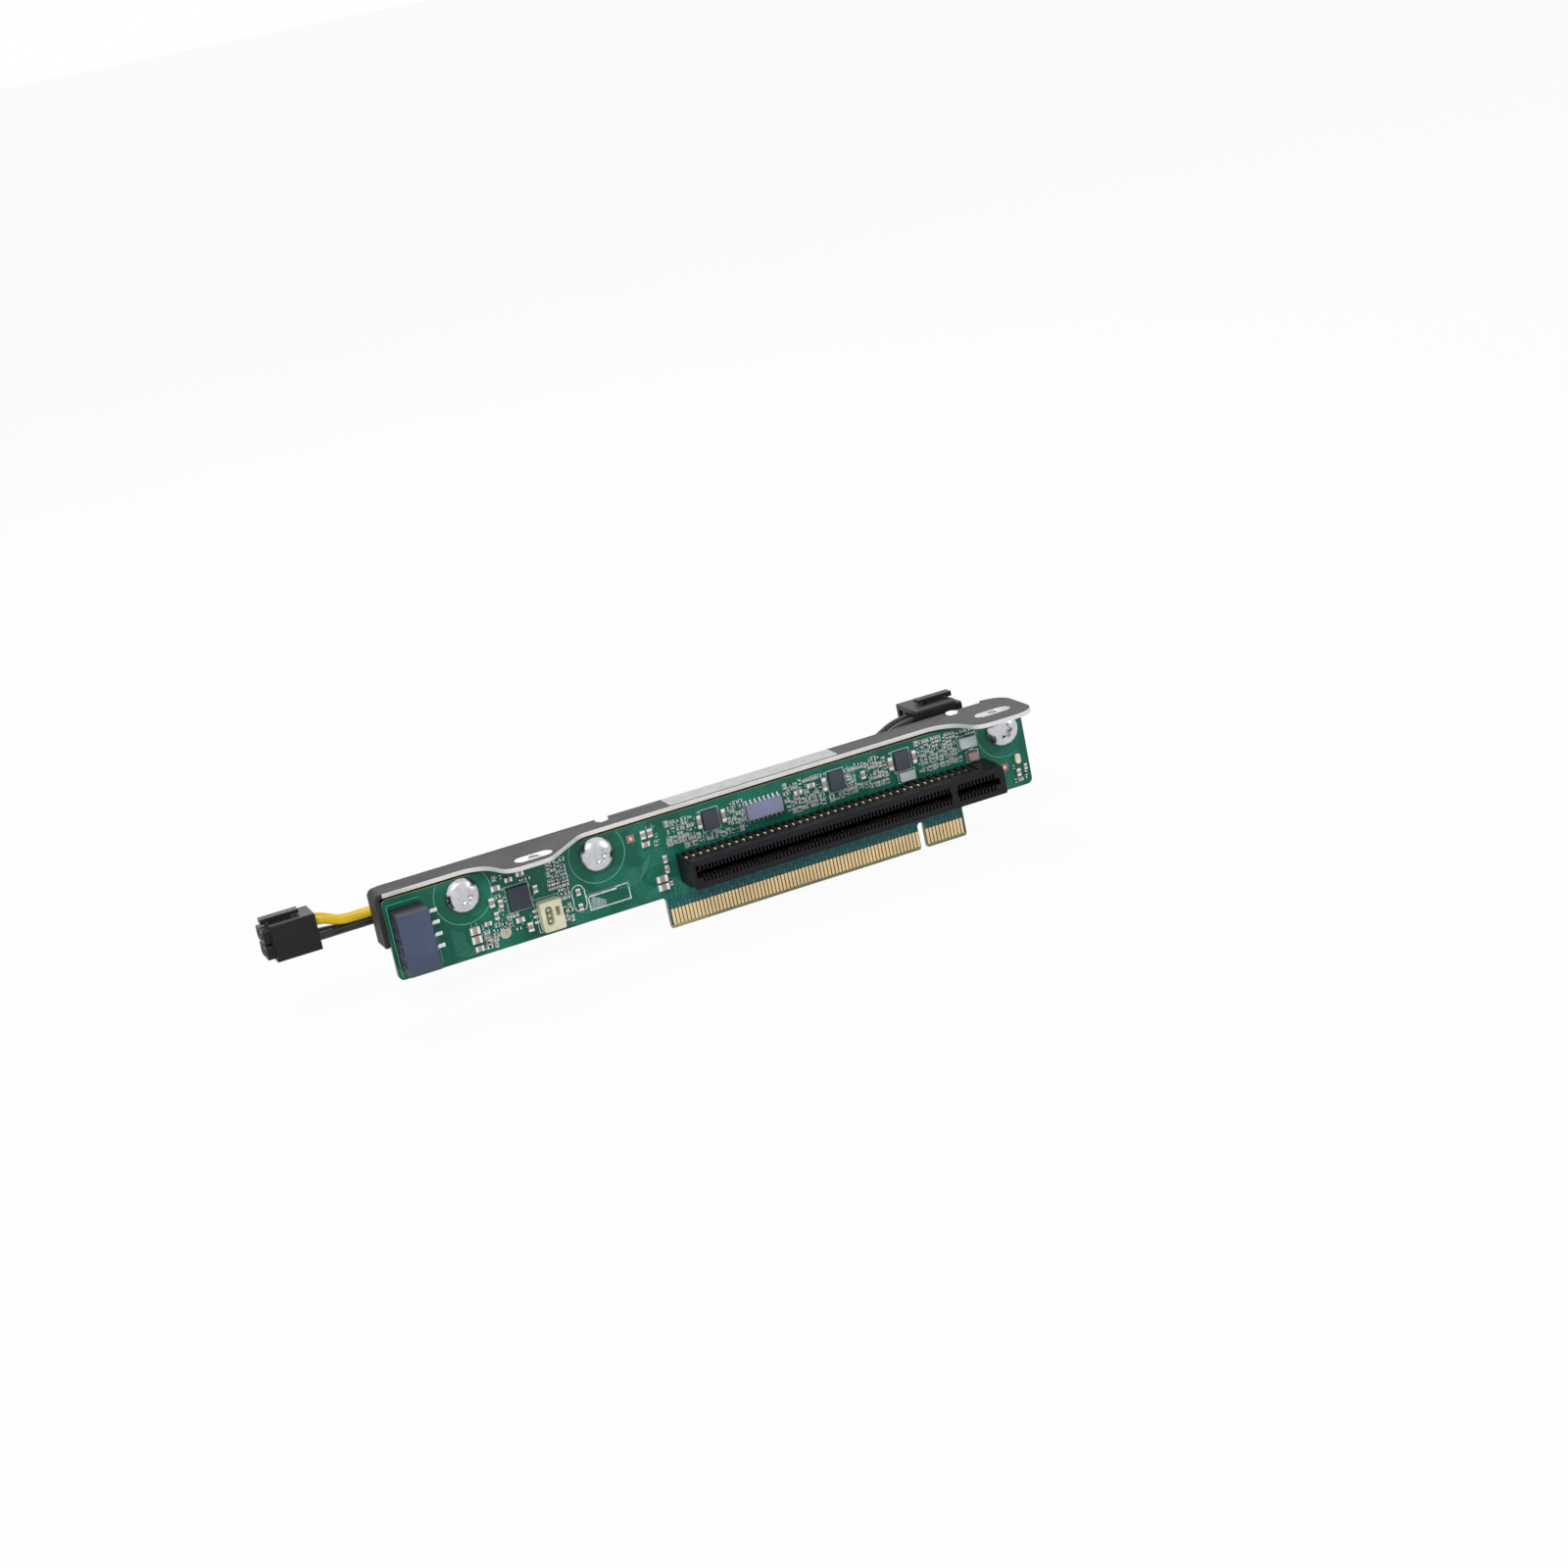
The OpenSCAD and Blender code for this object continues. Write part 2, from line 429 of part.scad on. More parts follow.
// Plug body from x = 0 (mating face) to plug_l, with its wires at the far end
module plug(cols) difference() {
    union() {
        translate([2, 0, 0]) along(0, plug_l - 2) box2(-plug_w / 2 - (cols - 2) * plug_pitch / 2, -plug_w / 2,
            plug_w / 2 + (cols - 2) * plug_pitch / 2, plug_w / 2, 0.5);
        // one silo for each position on the mating side
        for (i = [0:cols - 1]) for (j = [-0.5, 0.5]) translate([0, (i - (cols - 1) / 2) * plug_pitch, j * plug_pitch])
            along(0, 2 + e) box2(-1.75, -1.75, 1.75, 1.75, 0.4);
        // latch arm on the upper side, its rear pad and its nose
        bar([3, -1.5, plug_w / 2 - e], [8.2, 1.5, plug_w / 2 + 0.5]);
        bar([0.6, -1.5, plug_w / 2 + 0.5 - e], [10.5, 1.5, plug_w / 2 + 1.4]);
        bar([0.6, -1.5, plug_w / 2 + 0.1], [1.8, 1.5, plug_w / 2 + 0.6]);
    }
    for (i = [0:cols - 1]) for (j = [-0.5, 0.5]) translate([0, (i - (cols - 1) / 2) * plug_pitch, j * plug_pitch]) {
        bar([1.2, -silo / 2, -silo / 2], [plug_l + 1, silo / 2, silo / 2]);
        bar([-1, -0.9, -0.9], [2, 0.9, 0.9]);
    }
}
module left_plug() color([0.06, 0.06, 0.06]) datum() translate(left_c) plug(2);
module right_plug() color([0.06, 0.06, 0.06]) datum()
    translate(right_c + [plug_l, 0, 0]) rotate([0, 0, 180]) plug(3);

module terminal(l) difference() {
    bar([0, -silo / 2, -silo / 2], [l, silo / 2, silo / 2]);
    bar([-1, -0.9, -0.9], [5, 0.9, 0.9]);
}
module left_plug_terminals() color([0.80, 0.78, 0.70]) datum()
    for (i = [-0.5, 0.5]) for (j = [-0.5, 0.5])
        translate([left_c[0] + 1.2, left_c[1] + i * plug_pitch, left_c[2] + j * plug_pitch]) terminal(6.8);
module right_plug_terminals() color([0.80, 0.78, 0.70]) datum()
    for (i = [-1, 0]) for (j = [-0.5, 0.5])
        translate([right_c[0] + plug_l - 1.2, right_c[1] + i * plug_pitch, right_c[2] + j * plug_pitch])
            rotate([0, 0, 180]) terminal(plug_l - 6.8);

// Clips that hold the bundle against the web
module cable_clips() color([0.10, 0.10, 0.10]) datum() for (x = clip_x) {
    w = wire_d;
    along(x - 2.5, x + 2.5) polygon([
        [web_y, bundle_z - w - clip_t], [bundle_y + w + 1.2, bundle_z - w - clip_t],
        [bundle_y + w + 1.2, bundle_z - 0.9], [bundle_y + w + 0.1, bundle_z - 1.3],
        [bundle_y + w, bundle_z - w], [web_y + clip_t, bundle_z - w],
        [web_y + clip_t, bundle_z + w], [bundle_y + w, bundle_z + w],
        [bundle_y + w + 0.1, bundle_z + 1.3], [bundle_y + w + 1.2, bundle_z + 0.9],
        [bundle_y + w + 1.2, bundle_z + w + clip_t], [web_y, bundle_z + w + clip_t]]);
    pin(x, bundle_z, 2.4, web_y - sheet_t, web_y + e);
    pin(x, bundle_z, 3.4, web_y - sheet_t - 0.8, web_y - sheet_t);
}

bracket();
window_inserts();
flange_rivets();
standoffs();
board();
edge_contacts_front();
edge_contacts_rear();
slot_housing();
slot_contacts();
slot_side_tips();
mounting_screws();
power_header();
power_header_pins();
wafer_header();
wafer_header_pins();
controller_chip();
buffer_chip_left();
buffer_chip_middle();
buffer_chip_right();
driver_chip();
driver_chip_legs();
capacitor_bodies();
capacitor_ends();
power_inductor();
filter_block();
tan_capacitor();
status_light();
wire_yellow_upper();
wire_yellow_rear();
wire_black_lower();
wire_black_rear();
left_plug();
right_plug();
left_plug_terminals();
right_plug_terminals();
cable_clips();
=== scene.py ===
import math
import random

import bpy
from mathutils import Matrix, Vector


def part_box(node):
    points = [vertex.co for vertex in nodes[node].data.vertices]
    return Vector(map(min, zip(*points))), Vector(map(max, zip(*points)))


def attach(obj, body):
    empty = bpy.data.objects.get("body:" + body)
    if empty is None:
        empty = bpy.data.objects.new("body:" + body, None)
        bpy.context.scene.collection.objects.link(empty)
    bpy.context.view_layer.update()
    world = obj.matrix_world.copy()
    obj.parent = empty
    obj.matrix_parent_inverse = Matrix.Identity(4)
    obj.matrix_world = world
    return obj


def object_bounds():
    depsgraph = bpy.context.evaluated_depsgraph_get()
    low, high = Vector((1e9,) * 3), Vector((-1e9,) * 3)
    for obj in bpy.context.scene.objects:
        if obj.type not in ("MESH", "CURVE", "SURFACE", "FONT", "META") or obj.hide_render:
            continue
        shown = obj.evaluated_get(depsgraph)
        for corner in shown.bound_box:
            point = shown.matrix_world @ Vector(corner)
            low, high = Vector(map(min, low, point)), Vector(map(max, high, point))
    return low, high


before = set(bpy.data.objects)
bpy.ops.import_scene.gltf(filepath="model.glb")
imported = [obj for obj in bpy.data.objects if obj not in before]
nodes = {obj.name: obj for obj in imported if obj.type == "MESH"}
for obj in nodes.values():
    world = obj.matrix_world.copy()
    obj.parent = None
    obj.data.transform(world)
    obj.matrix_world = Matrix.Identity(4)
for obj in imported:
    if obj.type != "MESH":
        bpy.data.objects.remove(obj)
cad_low, cad_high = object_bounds()

# Lengths are in millimetres, and in metres where a name ends in _M: x from the
# card edge's left end, y back from the board's front face, z up from the bottom
# of the card edge. at() and drawn() go between these and the frame's metres.
board_low, board_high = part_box("board")
BOARD_LEFT = 71.9
FLANGE_TOP = (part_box("bracket")[1].z - board_low.z) * 1000
BOARD_BACK = (board_high.y - board_low.y) * 1000
BOARD_TOP = (board_high.z - board_low.z) * 1000
BOARD_RIGHT = (board_high.x - board_low.x) * 1000 - BOARD_LEFT

CAMERA_LENS = 70.44
CAMERA_SENSOR = 36
CAMERA_PLACE_M = (-0.254233, -0.721871, 0.240490)
CAMERA_RIGHT = (0.90744, -0.371492, -0.196333)
CAMERA_DOWN = (-0.278277, -0.18124, -0.943247)
CAMERA_AHEAD = (0.314825, 0.910575, -0.267842)
LIGHTS_AIM_M = (0, 0, 0.02)
FLOOR_REACH_M = 60
FLOOR_DROP_M = 0.0002
FLOOR_SHOWN_WHITE = 0.94  # share of the floor that a background ray sees as plain white

SHADE_SPAN = (0.3, 0.7)  # the part of the broad noise that colour and roughness follow
GRAIN_DEPTH_M = 0.00004
TRACK_DEPTH_M = 0.00003
SHEET_EDGE = 1.25  # how far the flange's cut edge reaches below its top
FLANGE_FOLD_Y = 8.0
WALL_FOLD_X = -71.2
BLACK_WIRE_X = 60.0  # right of this all four wires look black


def at(x, y, z):
    return (board_low.x + (x + BOARD_LEFT) / 1000, board_low.y + y / 1000, board_low.z + z / 1000)


def drawn(p):
    return ((p[0] - board_low.x) * 1000 - BOARD_LEFT, (p[1] - board_low.y) * 1000, (p[2] - board_low.z) * 1000)


def drawn_box(node):
    low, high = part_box(node)
    return drawn(low), drawn(high)


# ---- nodes of a material ----

def put(tree, kind, inputs=None, **settings):
    """Adds a node, sets its properties, and links or sets its inputs."""
    node = tree.nodes.new(kind)
    for key, value in settings.items():
        setattr(node, key, value)
    for key, value in (inputs or {}).items():
        if isinstance(value, bpy.types.NodeSocket):
            tree.links.new(value, node.inputs[key])
        else:
            node.inputs[key].default_value = value
    return node


def maths(tree, operation, *values):
    return put(tree, "ShaderNodeMath", dict(enumerate(values)), operation=operation).outputs[0]


def ramp(tree, value, low, high, start=0.0, end=1.0):
    """Carries value from low...high over to start...end, held at both ends."""
    return put(tree, "ShaderNodeMapRange", {"Value": value, "From Min": low, "From Max": high,
                                            "To Min": start, "To Max": end}).outputs[0]


def noise(tree, place, scale, detail, roughness=0.5):
    return put(tree, "ShaderNodeTexNoise", {"Vector": place, "Scale": scale, "Detail": detail,
                                            "Roughness": roughness}).outputs["Fac"]


def split(tree, vector):
    return put(tree, "ShaderNodeSeparateXYZ", {0: vector}).outputs


def where_all(tree, *masks):
    """Mask that holds where every given mask does."""
    held = masks[0]
    for mask in masks[1:]:
        held = maths(tree, "MULTIPLY", held, mask)
    return held


def own_place(tree):
    return put(tree, "ShaderNodeTexCoord").outputs["Object"]


def blended(tree, mask, first, second):
    """Colour that goes from first to second as mask goes from 0 to 1."""
    mix = put(tree, "ShaderNodeMix", data_type="RGBA")
    for socket, value in ((mix.inputs[0], mask), (mix.inputs[6], first), (mix.inputs[7], second)):
        if isinstance(value, bpy.types.NodeSocket):
            tree.links.new(value, socket)
        else:
            socket.default_value = value
    return mix.outputs[2]


# ---- camera, light and floor ----

def make_camera():
    data = bpy.data.cameras.new("studio_camera")
    data.lens = CAMERA_LENS
    data.sensor_width = CAMERA_SENSOR
    data.clip_start, data.clip_end = 0.01, 400
    camera = bpy.data.objects.new("studio_camera", data)
    bpy.context.scene.collection.objects.link(camera)
    turn = Matrix([[CAMERA_RIGHT[i], -CAMERA_DOWN[i], -CAMERA_AHEAD[i]] for i in range(3)]).to_4x4()
    camera.matrix_world = Matrix.Translation(CAMERA_PLACE_M) @ turn
    bpy.context.scene.camera = camera


def background_ray(tree):
    """1 for the rays that see the background itself, 0 for those that carry its light."""
    path = put(tree, "ShaderNodeLightPath").outputs
    seen = maths(tree, "MAXIMUM", path["Is Camera Ray"], path["Is Glossy Ray"])
    return maths(tree, "MAXIMUM", seen, path["Is Transmission Ray"])


def make_world():
    world = bpy.data.worlds.new("studio_world")
    bpy.context.scene.world = world
    world.use_nodes = True
    tree = world.node_tree
    tree.nodes.clear()
    lit = put(tree, "ShaderNodeBackground", {"Color": (0.93, 0.96, 1.0, 1), "Strength": 0.42})
    shown = put(tree, "ShaderNodeBackground", {"Color": (1, 1, 1, 1), "Strength": 1.0})
    mix = put(tree, "ShaderNodeMixShader", {0: background_ray(tree), 1: lit.outputs[0], 2: shown.outputs[0]})
    put(tree, "ShaderNodeOutputWorld", {"Surface": mix.outputs[0]})


def area_light(name, place, size, power, colour):
    data = bpy.data.lights.new(name, "AREA")
    data.shape = "DISK"
    data.size = size
    data.energy = power
    data.color = colour
    lamp = bpy.data.objects.new(name, data)
    bpy.context.scene.collection.objects.link(lamp)
    lamp.location = place
    lamp.rotation_mode = "QUATERNION"
    lamp.rotation_quaternion = (Vector(LIGHTS_AIM_M) - Vector(place)).to_track_quat("-Z", "Y")


def make_lights():
    area_light("key_light", (-0.55, -0.75, 0.95), 0.5, 8.0, (1, 0.985, 0.96))
    area_light("fill_light", (0.85, -0.7, 0.45), 0.7, 2.6, (0.94, 0.97, 1))
    area_light("rear_light", (0.1, 0.9, 0.8), 0.6, 4.0, (1, 1, 1))


def make_floor():
    mesh = bpy.data.meshes.new("studio_floor")
    r = FLOOR_REACH_M
    mesh.from_pydata([(-r, -r, 0), (r, -r, 0), (r, r, 0), (-r, r, 0)], [], [(0, 1, 2, 3)])
    floor = bpy.data.objects.new("studio_floor", mesh)
    floor.location = (0, 0, cad_low.z - FLOOR_DROP_M)
    bpy.context.scene.collection.objects.link(floor)
    material = bpy.data.materials.new("studio_floor_white")
    material.use_nodes = True
    tree = material.node_tree
    tree.nodes.clear()
    paint = put(tree, "ShaderNodeBsdfDiffuse", {"Color": (0.86, 0.86, 0.86, 1)})
    shown = put(tree, "ShaderNodeEmission", {"Color": (1, 1, 1, 1), "Strength": 1.0})
    share = maths(tree, "MULTIPLY", background_ray(tree), FLOOR_SHOWN_WHITE)
    mix = put(tree, "ShaderNodeMixShader", {0: share, 1: paint.outputs[0], 2: shown.outputs[0]})
    put(tree, "ShaderNodeOutputMaterial", {"Surface": mix.outputs[0]})
    mesh.materials.append(material)


# ---- shared finishes ----

def shared_group(name, ins, outs):
    tree = bpy.data.node_groups.new(name, "ShaderNodeTree")
    for label, default in ins:
        socket = tree.interface.new_socket(name=label, in_out="INPUT", socket_type="NodeSocketFloat")
        socket.default_value = default
    for label in outs:
        tree.interface.new_socket(name=label, in_out="OUTPUT", socket_type="NodeSocketFloat")
    return tree, put(tree, "NodeGroupInput").outputs, put(tree, "NodeGroupOutput").inputs


def make_grain_group():
    tree, given, out = shared_group("moulded grain", [("Scale", 3000.0), ("Drift", 120.0)], ["Height", "Shade"])
    place = own_place(tree)
    tree.links.new(noise(tree, place, given["Scale"], 4.0, 0.6), out["Height"])
    tree.links.new(noise(tree, place, given["Drift"], 3.0), out["Shade"])
    return tree


def make_scuff_group():
    tree, given, out = shared_group(
        "handling scuffs", [("Length", 60.0), ("Fineness", 2600.0), ("Amount", 0.4)], ["Mask"])
    place = own_place(tree)
    stretch = put(tree, "ShaderNodeCombineXYZ", {"X": given["Length"], "Y": given["Fineness"], "Z": given["Fineness"]})
    lines = put(tree, "ShaderNodeVectorMath", {0: place, 1: stretch.outputs[0]}, operation="MULTIPLY")
    thin = ramp(tree, noise(tree, lines.outputs[0], 1.0, 3.0), 0.56, 0.72)
    patch = ramp(tree, noise(tree, place, 90.0, 2.0), 0.42, 0.62)
    tree.links.new(where_all(tree, thin, patch, given["Amount"]), out["Mask"])
    return tree


def make_dust_group():
    tree, given, out = shared_group("settled dust", [("Amount", 0.1)], ["Mask"])
    facing = split(tree, put(tree, "ShaderNodeNewGeometry").outputs["Normal"])
    up = ramp(tree, facing["Z"], 0.1, 1.0)
    spots = ramp(tree, noise(tree, own_place(tree), 900.0, 6.0), 0.42, 0.75)
    tree.links.new(where_all(tree, up, spots, given["Amount"]), out["Mask"])
    return tree


def placed(tree, group, **values):
    node = tree.nodes.new("ShaderNodeGroup")
    node.node_tree = group
    for key, value in values.items():
        node.inputs[key].default_value = value
    return node.outputs


def shade_of(colour, by):
    return tuple(min(1.0, c * by) for c in colour) + (1,)


def start_material(name):
    material = bpy.data.materials.new(name)
    material.use_nodes = True
    tree = material.node_tree
    tree.nodes.clear()
    surface = put(tree, "ShaderNodeBsdfPrincipled")
    put(tree, "ShaderNodeOutputMaterial", {"Surface": surface.outputs[0]})
    return material, tree, surface


def finish_surface(tree, surface, colour, roughness, grain, drift, bump, spread, scuff=0.0, dust=0.0,
                   scuff_colour=None, drift_depth=0.16):
    """Gives a surface its colour drift, grain, scuffs and dust. colour is a plain colour or a socket."""
    grained = placed(tree, groups["grain"], Scale=grain, Drift=drift)
    shade = grained["Shade"]
    mixed = isinstance(colour, bpy.types.NodeSocket)
    if mixed:
        dim = ramp(tree, shade, *SHADE_SPAN, 1 - drift_depth, 1 + drift_depth)
        base = put(tree, "ShaderNodeVectorMath", {0: colour, "Scale": dim}, operation="SCALE").outputs[0]
    else:
        wide = ramp(tree, shade, *SHADE_SPAN)
        base = blended(tree, wide, shade_of(colour, 1 - drift_depth), shade_of(colour, 1 + drift_depth))
    rough = ramp(tree, shade, *SHADE_SPAN, roughness - spread, roughness + spread)
    if scuff:
        marks = placed(tree, groups["scuffs"], Length=70.0, Fineness=2400.0, Amount=scuff)["Mask"]
        pale = scuff_colour or ((0.7, 0.7, 0.7) if mixed else (0.55, 0.55, 0.55))
        base = blended(tree, marks, base, tuple(pale) + (1,))
        rough = maths(tree, "MULTIPLY_ADD", marks, 0.25, rough)
    if dust:
        motes = placed(tree, groups["dust"], Amount=dust)["Mask"]
        base = blended(tree, motes, base, (0.62, 0.6, 0.56, 1))
        rough = maths(tree, "MULTIPLY_ADD", motes, 0.5, rough)
    tree.links.new(base, surface.inputs["Base Color"])
    tree.links.new(rough, surface.inputs["Roughness"])
    lumps = put(tree, "ShaderNodeBump", {"Height": grained["Height"], "Strength": bump, "Distance": GRAIN_DEPTH_M})
    tree.links.new(lumps.outputs[0], surface.inputs["Normal"])
    return lumps.outputs[0]


def plastic(name, colour, roughness=0.5, grain=4500.0, drift=140.0, bump=0.25, spread=0.06, scuff=0.0, dust=0.05,
            coat=0.0, specular=0.5):
    material, tree, surface = start_material(name)
    finish_surface(tree, surface, colour, roughness, grain, drift, bump, spread, scuff, dust)
    surface.inputs["Coat Weight"].default_value = coat
    surface.inputs["Coat Roughness"].default_value = 0.15
    surface.inputs["Specular IOR Level"].default_value = specular
    return material


def metal(name, colour, roughness=0.3, grain=5200.0, drift=260.0, bump=0.15, spread=0.08, scuff=0.3, dust=0.0,
          metallic=1.0):
    material, tree, surface = start_material(name)
    finish_surface(tree, surface, colour, roughness, grain, drift, bump, spread, scuff, dust,
                   scuff_colour=tuple(min(1, c * 1.15 + 0.05) for c in colour), drift_depth=0.1)
    surface.inputs["Metallic"].default_value = metallic
    return material


def make_board_finish():
    """Green solder mask over copper, with the glass cloth's tan core showing at the cut sides."""
    material, tree, surface = start_material("green_solder_mask")
    place = own_place(tree)
    axes = split(tree, place)
    flat = put(tree, "ShaderNodeCombineXYZ", {"X": axes["X"], "Y": axes["Z"], "Z": 0.0}).outputs[0]
    pour = put(tree, "ShaderNodeTexVoronoi", {"Vector": flat, "Scale": 110.0}, distance="CHEBYCHEV", feature="F1")
    poured = ramp(tree, pour.outputs["Color"], 0.45, 0.5)
    runs = put(tree, "ShaderNodeTexBrick", {"Vector": flat, "Scale": 420.0, "Mortar Size": 0.045,
                                            "Color1": (0, 0, 0, 1), "Color2": (0, 0, 0, 1), "Mortar": (1, 1, 1, 1)})
    some = ramp(tree, noise(tree, flat, 95.0, 1.0), 0.5, 0.56)
    tracks = where_all(tree, runs.outputs["Color"], some)
    green = blended(tree, poured, (0.001, 0.098, 0.058, 1), (0.002, 0.125, 0.074, 1))
    green = blended(tree, tracks, green, (0.012, 0.19, 0.13, 1))
    # darker teal where the inner copper stops, between the slot and the contacts
    low = ramp(tree, axes["Z"], 0.0078, 0.0086, 1.0, 0.0)
    green = blended(tree, low, green, (0.008, 0.095, 0.115, 1))
    # bare core along the chamfer and on every cut side
    bare = ramp(tree, axes["Z"], 0.0008, 0.0009, 1.0, 0.0)
    side = split(tree, put(tree, "ShaderNodeNewGeometry").outputs["True Normal"])
    cut = maths(tree, "LESS_THAN", maths(tree, "ABSOLUTE", side["Y"]), 0.6)
    core = maths(tree, "MAXIMUM", cut, bare)
    layers = put(tree, "ShaderNodeTexWave", {"Vector": place, "Scale": 900.0, "Distortion": 1.0}, bands_direction="Y")
    tan = blended(tree, layers.outputs["Fac"], (0.42, 0.40, 0.20, 1), (0.30, 0.30, 0.15, 1))
    lumps = finish_surface(tree, surface, blended(tree, core, green, tan), 0.42, 2600.0, 60.0, 0.12, 0.05,
                           dust=0.03, drift_depth=0.1)
    surface.inputs["Specular IOR Level"].default_value = 0.3
    raised = put(tree, "ShaderNodeBump", {"Height": tracks, "Strength": 0.5, "Distance": TRACK_DEPTH_M,
                                          "Normal": lumps})
    tree.links.new(raised.outputs[0], surface.inputs["Normal"])
    return material


def make_bracket_finish():
    """Dark lacquer on the sheet's faces; the flange's edges and bends are painted near white, partly bare steel on the
    sheared edges and partly a painted highlight.
    """
    material, tree, surface = start_material("dark_sheet_lacquer_painted_highlights")
    normal = split(tree, put(tree, "ShaderNodeNewGeometry").outputs["True Normal"])
    axes = split(tree, own_place(tree))
    # painted highlight, partly bare steel: the flange's edge and bend faces are made near white where light catches
    # them
    edge = where_all(
        tree,
        maths(tree, "LESS_THAN", maths(tree, "ABSOLUTE", normal["Z"]), 0.55),
        maths(tree, "LESS_THAN", axes["Y"], at(0, FLANGE_FOLD_Y, 0)[1]),
        maths(tree, "GREATER_THAN", axes["X"], at(WALL_FOLD_X, 0, 0)[0]),
        maths(tree, "GREATER_THAN", axes["Z"], at(0, 0, FLANGE_TOP - SHEET_EDGE)[2]))
    # painted sheen: the lacquer is painted paler towards the right end, standing in for reflection along the flange
    along = ramp(tree, axes["X"], at(-70, 0, 0)[0], at(90, 0, 0)[0])
    grey = blended(tree, along, (0.030, 0.030, 0.031, 1), (0.075, 0.075, 0.078, 1))
    colour = blended(tree, edge, grey, (0.72, 0.72, 0.70, 1))
    finish_surface(tree, surface, colour, 0.6, 3800.0, 70.0, 0.22, 0.07, 0.1, 0.04,
                   scuff_colour=(0.42, 0.42, 0.43), drift_depth=0.12)
    tree.links.new(maths(tree, "MULTIPLY", edge, 0.5), surface.inputs["Metallic"])
    surface.inputs["Specular IOR Level"].default_value = 0.2
    return material


def make_contact_finish():
    """Gold plating, a little darker at the leading end of each contact."""
    material, tree, surface = start_material("gold_plating")
    rise = ramp(tree, split(tree, own_place(tree))["Z"], 0.0008, 0.0052)
    colour = blended(tree, rise, (0.86, 0.60, 0.30, 1), (0.93, 0.66, 0.34, 1))
    finish_surface(tree, surface, colour, 0.34, 4200.0, 210.0, 0.12, 0.08, 0.2,
                   scuff_colour=(0.98, 0.84, 0.6), drift_depth=0.12)
    surface.inputs["Metallic"].default_value = 0.75
    return material


def make_header_finish():
    """Blue-grey on the mating face; the moulding's other sides carry painted shade and are made near black."""
    material, tree, surface = start_material("blue_grey_header_painted_shade")
    facing = split(tree, put(tree, "ShaderNodeTexCoord").outputs["Normal"])
    # painted shade: every side but the mating face is made near black, standing in for the shade on the header's top
    # and sides
    front = maths(tree, "LESS_THAN", facing["Y"], -0.5)
    colour = blended(tree, front, (0.012, 0.013, 0.018, 1), (0.062, 0.082, 0.142, 1))
    finish_surface(tree, surface, colour, 0.5, 4500.0, 140.0, 0.35, 0.06, scuff=0.03, dust=0.03)
    surface.inputs["Specular IOR Level"].default_value = 0.3
    return material


def make_yellow_wire_finish():
    """Yellow skin that turns black where the wires rise to the right plug."""
    material, tree, surface = start_material("yellow_wire_skin")
    along = split(tree, own_place(tree))["X"]
    black = maths(tree, "GREATER_THAN", along, at(BLACK_WIRE_X, 0, 0)[0])
    colour = blended(tree, black, (0.84, 0.56, 0.004, 1), (0.006, 0.006, 0.006, 1))
    finish_surface(tree, surface, colour, 0.45, 1800.0, 140.0, 0.1, 0.05, dust=0.02)
    return material


